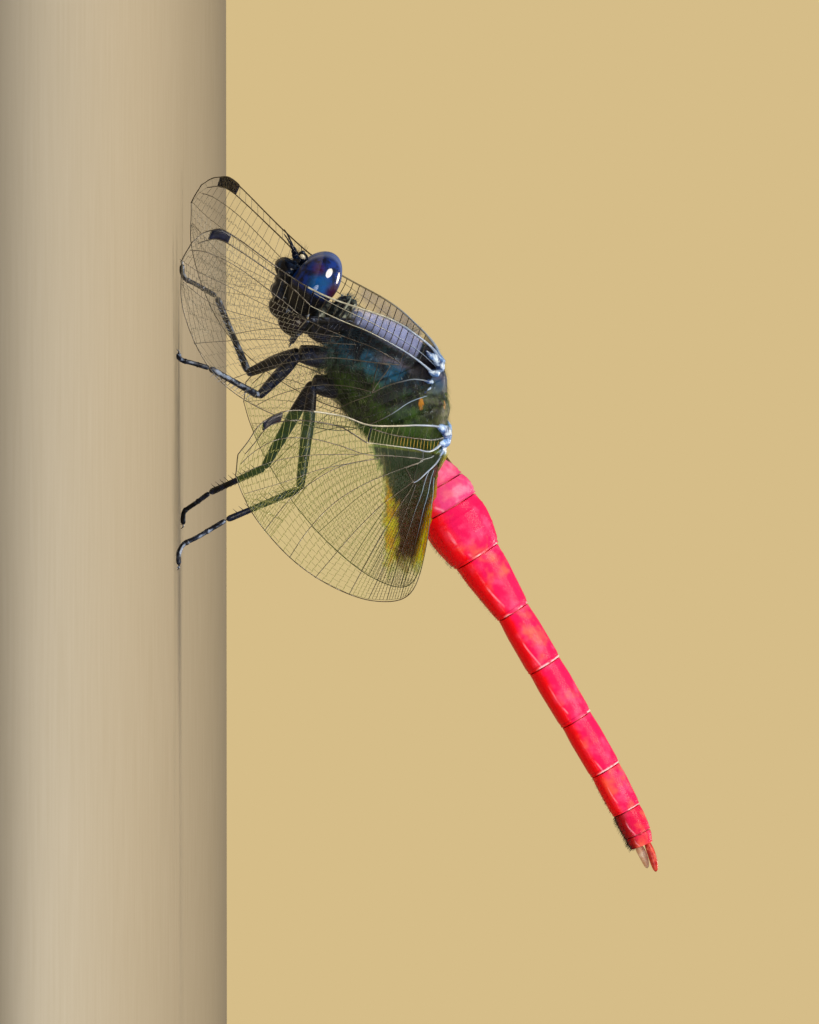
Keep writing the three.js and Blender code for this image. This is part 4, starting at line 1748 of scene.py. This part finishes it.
HINDWING = WingPlan(
    name="hindwing",
    root=(1.85, 3.9, 17.95),
    droop=23.3,
    sweep=7.4,
    fall=9,
    tip_lift=0,
    leading=((0, 0), (1.8, -0.3), (5, -0.25), (12.9, 0.15), (18.4, -0.25), (26.5, -0.15), (30.4, 1.0),
             (33.1, 3.1)),
    trailing=((0.8, 3.1), (0.1, 8.0), (1.4, 11.0), (7, 11.7), (14.5, 11.0), (22, 9.4), (29, 6.9), (33, 4.5)),
    veins={
        "subcosta": Vein(((0.1, 0.25), (2.1, 0.6), (5, 0.65), (9, 0.6), (12.9, 0.35)), 0.075, 0.05),
        "radius": Vein(((0, 0.54), (2.1, 1.38), (4.95, 1.35), (9, 1.33), (12.9, 1.32)),
                       0.17, 0.09, Look.BRIGHT),
        "outer_radius": Vein(((12.9, 1.32), (16.2, 0.7), (18.4, 0.45), (22.9, 0.35), (27, 0.6),
                              (29.6, 1.3), (32, 3.0)), 0.085, 0.05),
        "sector": Vein(((3.4, 1.95), (8, 1.98), (12.9, 2.1), (17, 1.75), (22, 1.5), (27, 1.75), (30, 2.5),
                        (32.5, 3.7)), 0.055, 0.04),
        "second": Vein(((14, 2.15), (18, 2.35), (23, 2.7), (28, 3.4), (32.7, 4.4)), 0.04, 0.03),
        "between": Vein(((10.5, 2.24), (15, 2.8), (20, 3.5), (25.5, 4.6), (31.0, 5.6)), 0.04, 0.03),
        "third": Vein(((10.5, 2.24), (16, 3.0), (20.5, 4.27), (24, 5.83), (26.8, 7.85)), 0.055, 0.04),
        "media": Vein(((3.4, 2.1), (8, 3.1), (13, 4.3), (17, 5.8), (20, 7.6), (22, 9.4)), 0.055, 0.035),
        "rear_media": Vein(((4.1, 3.5), (8, 5.0), (12, 7.1), (15.4, 9.3), (17.3, 10.55)), 0.045, 0.035),
        "cubitus": Vein(((4.1, 3.7), (6.8, 6.3), (9.2, 8.9), (11.3, 11.4)), 0.055, 0.035),
        "loop": Vein(((3.7, 3.7), (4.7, 6.0), (6.4, 9.2), (8, 11.6)), 0.045, 0.03),
        "anal": Vein(((0.1, 0.9), (0.83, 1.93), (1.87, 2.6), (3.2, 3.35), (4.1, 3.6)),
                     0.12, 0.08, Look.BRIGHT),
        "brace": Vein(((0.5, 1.2), (1.9, 1.75), (3.4, 2.0), (4.1, 2.3)), 0.07, 0.05),
        "second_anal": Vein(((1.9, 2.6), (3.0, 5.5), (4.2, 8.7), (5, 11.55)), 0.05, 0.03),
        "third_anal": Vein(((1.2, 2.6), (1.7, 5.6), (2.2, 8.6), (2.8, 11.35)), 0.05, 0.03),
        "stalk": Vein(((3.4, 1.37), (3.4, 2.05)), 0.07, 0.05),
        "triangle_front": Vein(((4.1, 2.3), (5.9, 2.65))),
        "triangle_rear": Vein(((4.1, 2.3), (4.1, 3.6))),
        "triangle_side": Vein(((5.9, 2.65), (4.1, 3.6))),
    },
    strips=(
        Strip(("costa", 0.02, 0.38), ("subcosta", 0.05, 1), 13),
        Strip(("subcosta", 0.05, 1), ("radius", 0.05, 1), 22),
        Strip(("costa", 0.38, 0.985), ("outer_radius", 0, 1), 20),
        Strip(("radius", 0.28, 1), ("sector", 0, 0.31), 8),
        Strip(("outer_radius", 0, 1), ("sector", 0.31, 1), 20),
        Strip(("sector", 0.34, 1), ("second", 0, 1), 28, 2),
        Strip(("second", 0, 1), ("between", 0.18, 1), 28, 3),
        Strip(("between", 0, 1), ("third", 0, 1), 30, 4),
        Strip(("sector", 0, 0.25), ("media", 0, 0.3), 9),
        Strip(("third", 0, 1), ("media", 0.34, 1), 28, 4),
        Strip(("media", 0.06, 1), ("rear_media", 0, 1), 28, 5),
        Strip(("rear_media", 0, 1), ("cubitus", 0, 1), 22, 5),
        Strip(("cubitus", 0, 1), ("loop", 0, 1), 22, 5),
        Strip(("loop", 0, 1), ("second_anal", 0, 1), 22, 5),
        Strip(("second_anal", 0, 1), ("third_anal", 0, 1), 20, 5),
        Strip(("third_anal", 0, 1), ("hind", 0.01, 0.2), 20, 4),
        Strip(("radius", 0.1, 0.3), ("anal", 0.1, 1), 5),
        Strip(("between", 1, 0.45), ("hind", 0.93, 0.8), 16, 4),
    ),
    stigma=(27.3, 29.7),
    nodus=12.9,
    ladder=(0, 0, 0),
    pale_costa=21.5,
    patch=True,
)


@dataclass
class Wing:
    """One wing: clear skin, a net of fine cells, long veins, a dark stigma and the root's plates."""

    finishes: Finishes
    plan: WingPlan
    side: Side
    skin_thickness: float = 0.03
    net_thickness: float = 0.026
    net_rise: float = 1.4  # the net's height, as a share of its width
    seed: int = 31  # of the net
    pad_thickness: float = 0.12  # of the dark cell

    def __post_init__(self) -> None:
        """Works out the directions of the wing and its edges."""
        plan = self.plan
        droop, sweep, fall = (math.radians(a) for a in (plan.droop, plan.sweep, plan.fall))
        level = math.cos(droop)
        self.span = Vector((level * math.cos(sweep), -level * math.sin(sweep), -math.sin(droop)))
        chord = Vector((0, math.cos(fall), -math.sin(fall)))
        self.chord = (chord - self.span * chord.dot(self.span)).normalized()
        self.normal = self.span.cross(self.chord)
        self.lines = {name: Course(vein.course) for name, vein in plan.veins.items()}
        for name, edge in (("costa", plan.leading), ("hind", plan.trailing)):
            self.lines[name] = Course([catmull(edge, i / 40) for i in range(41)], 120)
        self.label = f"{plan.name}_{self.side.label}"

    def point(self, u: float, v: float, lift: float = 0.0) -> Vector:
        """A point of the wing.

        Args:
            u: Millimetres along the span.
            v: Millimetres back along the chord.
            lift: Millimetres above the middle of the wing's thickness.

        Returns:
            The point in the maker's frame.
        """
        pleat = 0.09 * math.cos(min(max(v, 0), 6) * 2.9) * math.exp(-max(v, 0) / 3.5)
        point = Vector(self.plan.root) + self.span * u + self.chord * v + self.normal * (lift + pleat)
        point.z += self.plan.tip_lift * (u / self.plan.leading[-1][0]) ** 3
        return Vector((self.side.value * point.x, point.y, point.z))

    def crossing(self, name: str, u: float) -> Vector:
        """The point of a long vein at a distance along the span.

        Args:
            name: The vein.
            u: The distance in millimetres.

        Returns:
            The point on the plan.
        """
        line, low, high = self.lines[name], 0.0, 1.0
        for _ in range(24):
            half = (low + high) / 2
            low, high = (half, high) if line.at(half).x < u else (low, half)
        return line.at(low)

    def chart(self, shape: Shape) -> None:
        """Writes each corner's place on the wing to the plan's UV map.

        Args:
            shape: The mesh that takes the map.
        """
        layer = shape.loops.layers.uv.get(PLAN) or shape.loops.layers.uv.new(PLAN)
        root = Vector(self.plan.root)
        for face in shape.faces:
            for corner in face.loops:
                x, y, z = corner.vert.co
                away = Vector((self.side.value * x, y, z)) - root
                corner[layer].uv = (away.dot(self.span) / PLAN_SCALE,
                                    (away.dot(self.chord) + PLAN_RISE) / PLAN_SCALE)

    def membrane(self) -> None:
        """The clear skin between the wing's edges."""
        shape = bmesh.new()

        def place(s: float, t: float) -> Vector:
            """A point at a share of the span and a share of the chord."""
            return self.point(*catmull(self.plan.leading, s).lerp(catmull(self.plan.trailing, s), t))

        skin(shape, 90, 36, place)
        thicken(shape, self.skin_thickness)
        self.chart(shape)
        finish = MembraneFinish(f"{self.plan.name} skin", self.plan.patch).material()
        finished(f"{self.label}_skin", shape, finish, [self.label], crease=60)

    def strip(self, shape: Shape, cells: Strip, draw: random.Random) -> None:
        """One strip of cells, laid as bricks and drawn into six-sided cells.

        Args:
            shape: The flat net that takes them.
            cells: The strip.
            draw: The source of the small unevenness.
        """
        upper = self.lines[cells.upper[0]].part(*cells.upper[1:])
        lower = self.lines[cells.lower[0]].part(*cells.lower[1:])
        columns, rows = cells.columns * 2, cells.rows
        made = bmesh.ops.create_grid(shape, x_segments=columns, y_segments=rows, size=0.5)["verts"]
        spot = {vert: (round((vert.co.x + 0.5) * columns), round((vert.co.y + 0.5) * rows)) for vert in made}
        extra = []
        for edge in {edge for vert in made for edge in vert.link_edges}:
            (i, j), (k, m) = (spot[vert] for vert in edge.verts)
            if i == k and 0 < i < columns and (i + min(j, m)) % 2:
                extra.append(edge)
        cell = upper.length / cells.columns
        for vert, (i, j) in spot.items():
            share, depth = i / columns, j / rows
            if 0 < i < columns and rows > 1:
                share += draw.uniform(-0.16, 0.16) / columns
            top, bottom = upper.at(share), lower.at(share)
            if 0 < j < rows:
                width = max((top - bottom).length, 0.05)
                step = min(cell, width / rows)
                depth += (0.11 * step * (1 if (i + j) % 2 else -1) + draw.uniform(-0.04, 0.04) * step) / width
            place = top.lerp(bottom, depth)
            vert.co = (place.x, place.y, 0)
        bmesh.ops.dissolve_edges(shape, edges=extra, use_verts=False)

    def net(self) -> None:
        """The fine cross veins of the whole wing."""
        draw = random.Random(self.seed)
        shape = bmesh.new()
        for cells in self.plan.strips:
            self.strip(shape, cells, draw)
        bmesh.ops.remove_doubles(shape, verts=shape.verts, dist=0.09)
        bmesh.ops.dissolve_degenerate(shape, dist=0.02, edges=shape.edges)
        bmesh.ops.wireframe(shape, faces=shape.faces, thickness=self.net_thickness, use_boundary=True,
                            use_replace=True, use_even_offset=False)
        for vert in shape.verts:
            vert.co = self.point(vert.co.x, vert.co.y, vert.co.z * self.net_rise)
        turn_out(shape)
        self.chart(shape)
        if self.plan.patch:
            finish = VeinFinish(f"{self.plan.name} net", "96965a", "e0b234", 6.0, 4, (0.45, 1.55), "1e1808")
        else:
            finish = VeinFinish(f"{self.plan.name} net", "8a8472", "26242c", 13.0, 6)
        finished(f"{self.label}_net", shape, finish.material(), crease=50)

    def long_veins(self) -> None:
        """The long veins and the thickened edges."""
        dark, pale = Cable(), Cable()
        for name, vein in self.plan.veins.items():
            line = self.lines[name]
            steps = max(4, int(line.length * 2))
            points = [self.point(*line.at(i / steps), 0.02) for i in range(steps + 1)]
            if vein.look is Look.BRIGHT:
                pale.add(points, [0.048 - 0.02 * i / steps
                                  + 0.55 * vein.thick * math.exp(-i / steps * line.length / 1.6)
                                  for i in range(steps + 1)])
            elif vein.look is Look.FAINT:
                pale.add(points, [0.02] * len(points))
            else:
                change = vein.thin - vein.thick
                dark.add(points, [0.6 * (vein.thick + change * i / steps) for i in range(steps + 1)])
        costa = self.lines["costa"]
        reach = self.plan.pale_costa / self.plan.leading[-1][0]
        shares = [i / 90 for i in range(91)]
        inner = [s for s in shares if s <= reach + 0.02]
        pale.add([self.point(*costa.at(s), 0.03) for s in inner],
                 [0.062 + 0.08 * math.exp(-s * costa.length / 1.5) for s in inner])
        outer = [s for s in shares if s >= reach]
        dark.add([self.point(*costa.at(s), 0.0) for s in outer], [0.065 - 0.03 * s for s in outer])
        first, last, count = self.plan.ladder
        for i in range(count):
            u = first + (last - first) * i / max(count - 1, 1)
            top, foot = self.crossing("costa", u), self.crossing("radius", u - 0.1)
            dark.add([self.point(*top.lerp(foot, j / 6), 0.015) for j in range(7)], [0.03] * 7)
        hind = self.lines["hind"]
        dark.add([self.point(*hind.at(s)) for s in shares], [0.035 - 0.008 * s for s in shares])
        tip = [costa.at(1).lerp(hind.at(1), i / 4) for i in range(5)]
        dark.add([self.point(*place) for place in tip], [0.04] * 5)
        # near the root both sets of long veins turn blue-grey: partly pale vein bases, partly a painted
        # highlight
        for cable, name, code, light, far, soft, rows in (
            (dark, "dark_veins", "3a3222", "8ea2b8", 1.5, 3, (-1.0, 8.0)),
            (pale, "pale_veins", "a8a48e", "9fb0ca", 3.5, 6, None),
        ):
            shape = cable.mesh()
            self.chart(shape)
            finish = VeinFinish(f"{self.plan.name} {name}", code, light, far, soft, rows).material()
            finished(f"{self.label}_{name}", sealed(shape), finish, crease=60)

    def stigma(self) -> None:
        """The dark cell near the tip, and the knot at the nodus."""
        shape = bmesh.new()
        first, last = self.plan.stigma

        def place(s: float, t: float) -> Vector:
            """A point of the stigma's rounded pad.

            Args:
                s: The share outward.
                t: The share back.

            Returns:
                The point.
            """
            u = first + (last - first) * s
            spot = self.crossing("costa", u + 0.15).lerp(self.crossing("outer_radius", u), t)
            puff = 0.09 * (1 - (2 * s - 1) ** 8) * (1 - (2 * t - 1) ** 8)
            return self.point(*spot, puff)

        skin(shape, 24, 6, place)
        thicken(shape, self.pad_thickness)
        knot = self.crossing("costa", self.plan.nodus)
        foot = self.crossing("radius", self.plan.nodus - 0.3)
        line = Course([self.point(*knot.lerp(foot, i / 3), 0.03) for i in range(4)])
        skin(shape, 10, 10, pod(line, (0.075, 0.06, 0.05), ends=0.2))
        self.chart(shape)
        finish = Chitin(f"{self.plan.name} stigma", "080916", "141830", "30303c", 0.5, 0.2, gloss=1.2)
        finished(f"{self.label}_stigma", shape, finish.material(), crease=50)

    def roots(self) -> None:
        """The hinge: a wedge under the front edge and the arms behind it, melted into one plate."""
        shape = bmesh.new()
        rear = 1.9 if self.plan.patch else 1.55
        for line, radii, squash in (
            (((-0.9, 0.1, -0.6), (-0.3, 0.1, -0.12), (0.5, -0.04, 0.05), (1.4, -0.22, 0.04),
              (2.3, -0.3, 0.0)), (0.24, 0.36, 0.4, 0.27, 0.07), 0.7),
            (((-0.9, 0.65, -0.6), (-0.3, 0.6, -0.12), (0.3, 0.7, 0.05), (1.0, 0.78, 0.02)),
             (0.24, 0.32, 0.28, 0.08), 0.8),
            (((-0.9, 1.15, -0.6), (-0.3, 1.1, -0.12), (0.3, 1.3, 0.0), (1.0, rear, 0.0)),
             (0.24, 0.26, 0.16, 0.06), 0.8),
            (((-0.9, rear, -0.6), (-0.5, rear, -0.2), (0.0, rear + 0.15, -0.05), (0.5, rear + 0.6, 0.0)),
             (0.18, 0.12, 0.08, 0.04), 0.7),
        ):
            path = Course([self.point(*spot) for spot in line])
            skin(shape, 20, 30, pod(path, radii, squash, 0.15))
        line = ((-0.2, -0.2, 0.0), (-0.3, 0.5, 0.0), (-0.32, 1.2, -0.04), (-0.36, rear + 0.1, -0.12))
        edge = Course([self.point(*spot) for spot in line])
        skin(shape, 20, 60, pod(edge, (0.24, 0.1, 0.2, 0.09, 0.17, 0.12, 0.06), 0.8, 0.08))

        def web(s: float, t: float) -> Vector:
            """A point of the thin pad between the arms.

            Args:
                s: The share round.
                t: The share along.

            Returns:
                The point.
            """
            low = math.sin(math.pi * t)
            return self.point(-0.45 + 0.36 * low * math.cos(TURN * s), 0.8 - 0.8 * math.cos(math.pi * t),
                              -0.3 + 0.1 * low * math.sin(TURN * s))

        skin(shape, 24, 24, web)
        shape = fused(sealed(shape), grain=0.045, rounds=2)
        shape.normal_update()
        for vert in shape.verts:
            vert.co += vert.normal * (0.06 * noise.noise(vert.co * 3.5) + 0.1 * noise.noise(vert.co * 1.8))
        finished(f"{self.label}_hinge", shape, self.finishes.sclerite, crease=60)

    def build(self) -> None:
        """Makes every piece of the wing."""
        self.membrane()
        self.net()
        self.long_veins()
        self.stigma()
        self.roots()


# ------------ legs


@dataclass
class Leg:
    """One leg: coxa, thigh, shin with its comb of spines, and a foot with two claws."""

    finishes: Finishes
    name: str
    root: Point
    hip: Point
    knee: Point
    ankle: Point
    toe: Point
    sink: float = 0.2  # the height of the middle of a foot that stands
    lying: float = 0.4  # share of such a foot that lies on the ground
    foot: float = 0.17  # the foot's radius

    def piece(self, part: str, line: Sequence[Point], radii: Sequence[float], squash: float = 1.0,
              extras: Callable[[Shape], None] | None = None) -> None:
        """One segment of the leg.

        Args:
            part: Its name in the frame.
            line: Its middle line.
            radii: Its radius along the line.
            squash: Height over width of its section.
            extras: What else goes on it.
        """
        shape = bmesh.new()
        skin(shape, 22, 36, pod(Course(line), radii, squash, 0.07))
        sealed(shape)
        if extras:
            extras(shape)
        # tibiae and tarsi, or on the hind legs only the tarsi, take the shin finish with its painted
        # highlight
        shins = ("tarsus",) if self.name.startswith("hind") else ("tibia", "tarsus")
        finish = self.finishes.shin if part in shins else self.finishes.leg
        finished(f"{self.name}_{part}_shell", shape, finish, [f"{self.name}_{part}"])

    @staticmethod
    def comb(start: Vector, end: Vector, count: int, length: float, radius: float) -> Callable[[Shape], None]:
        """Two rows of spines along a segment.

        Args:
            start: The segment's first end.
            end: Its other end.
            count: Spines in a row.
            length: How long a spine is.
            radius: How thick the segment is.

        Returns:
            What adds them to a mesh.
        """
        run = (end - start).normalized()
        down = Vector((0, 0, -1)) - run * -run.z
        down = down.normalized() if down.length > 0.05 else Vector((1, 0, 0))
        side = run.cross(down)

        def add(shape: Shape) -> None:
            """Adds the spines.

            Args:
                shape: The mesh that takes them.
            """
            for row in (1, -1):
                for i in range(count):
                    t = 0.12 + 0.82 * (i + 0.25 * row) / count
                    out = (down * 0.55 + side * row * 0.85).normalized()
                    root = start.lerp(end, t) + out * radius * 0.7
                    tip = root + (out * 0.85 + run * 0.55).normalized() * length * (1 - 0.35 * t)
                    if tip.z > 0.05:
                        spike(shape, root, tip, 0.035, 4, 0.2)

        return add

    def sole(self) -> list[Vector]:
        """The foot's middle line, bent to lie along the ground where it stands.

        Returns:
            Points from the ankle to the toe.
        """
        ankle, toe = Vector(self.ankle), Vector(self.toe)
        if toe.z > 0:
            return [ankle, ankle.lerp(toe, 0.5), toe]
        lying = Vector((toe.x, toe.y, self.sink))
        heel = ankle.lerp(lying, 1 - self.lying)
        heel.z = self.sink + 0.08
        return [ankle, ankle.lerp(heel, 0.6), heel, lying]

    def build(self) -> None:
        """Makes every piece of the leg."""
        root, hip, knee, ankle = (Vector(p) for p in (self.root, self.hip, self.knee, self.ankle))
        bow = (knee - hip).normalized()
        self.piece("coxa", [root, root.lerp(hip, 0.5), hip], (0.68, 0.66, 0.5), 0.9)
        self.piece("femur", [hip, hip.lerp(knee, 0.5), knee + bow * 0.1], (0.34, 0.46, 0.4, 0.3), 0.92,
                   self.comb(hip, knee, 9, 0.32, 0.36))
        self.piece("tibia", [knee, knee.lerp(ankle, 0.5), ankle], (0.26, 0.22, 0.2, 0.22), 1.0,
                   self.comb(knee, ankle, 10, 0.62, 0.22))
        line = Course(self.sole())
        end, heading = line.at(1), (line.at(1) - line.at(0.9)).normalized()
        across = heading.cross(Vector((0, 0, 1))).normalized()

        def claws(shape: Shape) -> None:
            """Adds the joints' cuffs and the two claws.

            Args:
                shape: The mesh that takes them.
            """
            for share in (0.3, 0.62):
                cuff = Course([line.at(share - 0.05), line.at(share), line.at(share + 0.05)])
                skin(shape, 14, 8, pod(cuff, (0.17, 0.185, 0.17), ends=0.4))
            for side in (1, -1):
                bend = end + heading * 0.12 + across * side * 0.14
                floor = 0.03 if end.z < 1 else end.z - 0.2
                tip = Vector((*(bend + heading * 0.16 + across * side * 0.05).xy, floor))
                spike(shape, end - heading * 0.1, bend, 0.06, 6, 0.8)
                spike(shape, bend - heading * 0.02, tip, 0.05, 6, 0.15)

        radii = (self.foot, self.foot * 0.9, self.foot)
        self.piece("tarsus", [line.at(i / 6) for i in range(7)], radii, 1.0, claws)


# ------------ studio


@dataclass(frozen=True)
class Lamp:
    """A soft lamp: where it stands, the width of its disc, its power in watts and its colour."""

    place: Point
    size: float
    power: float
    colour: str


@dataclass
class Studio:
    """Floor, light and a long lens level with the animal, rolled so that the ground stands at the left."""

    yaw: float = math.radians(4.6)
    frame_height: float = 68.27  # what the longer side of the view takes in
    lens: float = 700.0
    sensor: float = 36.0
    eye_level: float = 15.43
    aim: float = 9.363  # how far back along the animal everything looks
    lamp_aim: float = 14.0  # the height that the lamps look at
    floor_near: float = 700.0
    floor_far: float = 350.0
    floor_side: float = 1800.0
    lamps: tuple[tuple[str, Lamp], ...] = (
        ("key", Lamp((250, -230, 480), 370, 3.8, "fff4e0")),
        ("fill", Lamp((520, 160, 90), 260, 1.25, "e8f0ff")),
        ("rim", Lamp((-260, 60, 380), 160, 0.8, "fff0d8")),
    )

    @staticmethod
    def at(point: Point) -> Vector:
        """A point of the maker's frame in metres in the part's frame."""
        return (Vector(point) + SHIFT) * MM

    def floor(self) -> None:
        """The plain pale floor."""

        def place(s: float, t: float) -> Vector:
            """A point at a share of the floor's depth and of its width."""
            return Vector((self.floor_near - s * (self.floor_near + self.floor_far),
                           (t - 0.5) * self.floor_side, 0))

        shape = bmesh.new()
        skin(shape, 8, 8, place)
        shape.transform(Matrix.Scale(MM, 4))
        mesh = mesh_of("floor", shape)
        r = Recipe("floor paper", 0.8)
        paper = r.blend(r.grain(0.15, 4), "a3957c", "958669")
        r.bump(r.grain(4, 4), 0.05, 0.4)
        mesh.materials.append(r.done(paper))
        floor = put("floor", mesh)
        floor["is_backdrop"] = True

    def lights(self) -> None:
        """A key from above and ahead, a fill from the camera and a rim from the far side."""
        for name, lamp in self.lamps:
            light = bpy.data.lights.new(name, "AREA")
            light.shape = "DISK"
            light.size = lamp.size * MM
            light.energy = lamp.power
            light.color = tone(lamp.colour)[:3]
            stand = put(name, light)
            stand.location = self.at(lamp.place)
            aim = self.at((0, self.aim, self.lamp_aim)) - stand.location
            stand.rotation_euler = aim.to_track_quat("-Z", "Y").to_euler()

    def backdrop(self) -> None:
        """A plain colour behind the animal, and a soft sky that only lights it."""
        world = bpy.data.worlds.new("backdrop")
        w = Wiring(world)
        plain = w.tree.nodes["Background"]
        plain.inputs["Color"].default_value = tone("d6bd88")
        height = w.axes(w.node("TexCoord", {}, "Generated"))[2]
        sky = w.ramp(height, (0.0, "8f8468"), (1.0, "c4d6f2"))
        soft = w.node("Background", {"Color": sky, "Strength": 0.36})
        seen = w.node("LightPath", {}, "Is Camera Ray")
        light = w.node("MixShader", {0: seen, 1: soft, 2: plain.outputs[0]})
        w.tree.links.new(light, w.tree.nodes["World Output"].inputs["Surface"])
        bpy.context.scene.world = world

    def camera(self) -> None:
        """The camera, turned with the animal and kept above the floor."""
        away = Vector((math.cos(self.yaw), -math.sin(self.yaw), 0))
        up = Vector((-math.sin(self.yaw), -math.cos(self.yaw), 0))
        right = Vector((0, 0, 1))
        distance = self.frame_height * self.lens / self.sensor
        data = bpy.data.cameras.new("camera")
        data.lens = self.lens
        data.sensor_width = self.sensor
        data.sensor_fit = "AUTO"
        data.clip_start = 0.01
        data.clip_end = 50
        camera = put("camera", data)
        turn = Matrix((right, up, away)).transposed().to_4x4()
        place = self.at(Vector((0, self.aim, self.eye_level)) + away * distance)
        camera.matrix_world = Matrix.Translation(place) @ turn
        bpy.context.scene.camera = camera

    def build(self) -> None:
        """Sets up everything round the animal."""
        bpy.context.scene.view_settings.view_transform = "Standard"
        self.camera()
        self.floor()
        self.lights()
        self.backdrop()


FORE_LEG = ((0.75, -2.55, 9.9), (1.6, -2.9, 8.9), (3.45, -3.55, 12.2), (3.25, -3.75, 8.7), (2.5, -2.1, 7.55))
LEGS: dict[str, tuple[Point, ...]] = {  # root, hip, knee, ankle and toe
    "fore_left": FORE_LEG,
    "fore_right": tuple((-x, y, z) for x, y, z in FORE_LEG),
    "mid_left": ((0.95, -0.9, 9.9), (1.45, -1.25, 8.05), (6, 1.15, 5.45), (9.5, -0.95, 2.2), (10.9, -2, 0)),
    "mid_right": ((-0.95, -0.9, 9.9), (-1.45, -1.25, 8.05), (-5.9, 0.5, 4.65), (-7.9, -4.5, 2.5),
                  (-8.9, -6.6, 0)),
    "hind_left": ((1, 1.1, 10.6), (1.6, 0.75, 9), (5.3, 7.4, 8.15), (9.8, 9.1, 3.3), (11.4, 12, 0)),
    "hind_right": ((-1, 1.1, 10.6), (-1.6, 0.75, 9), (-5.8, 6.85, 5.7), (-10.4, 8.9, 2), (-12.6, 11.2, 0)),
}


def main() -> list[list[float]]:
    """Builds the dragonfly round the frame.

    Returns:
        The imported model's box, as two corners.
    """
    logging.basicConfig(level=logging.INFO, format="%(name)s: %(message)s")
    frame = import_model()
    box = [list(corner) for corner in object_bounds()]
    log.info("frame: %d nodes", len(frame["nodes"]))
    Studio().build()
    finishes = Finishes()
    Head(finishes).build()
    Thorax(finishes).build()
    Abdomen(finishes).build()
    for plan in (FOREWING, HINDWING):
        for side in Side:
            Wing(finishes, plan, side).build()
    for name, points in LEGS.items():
        Leg(finishes, name, *points).build()
    return box


if __name__ == "__main__":
    cad_box = main()
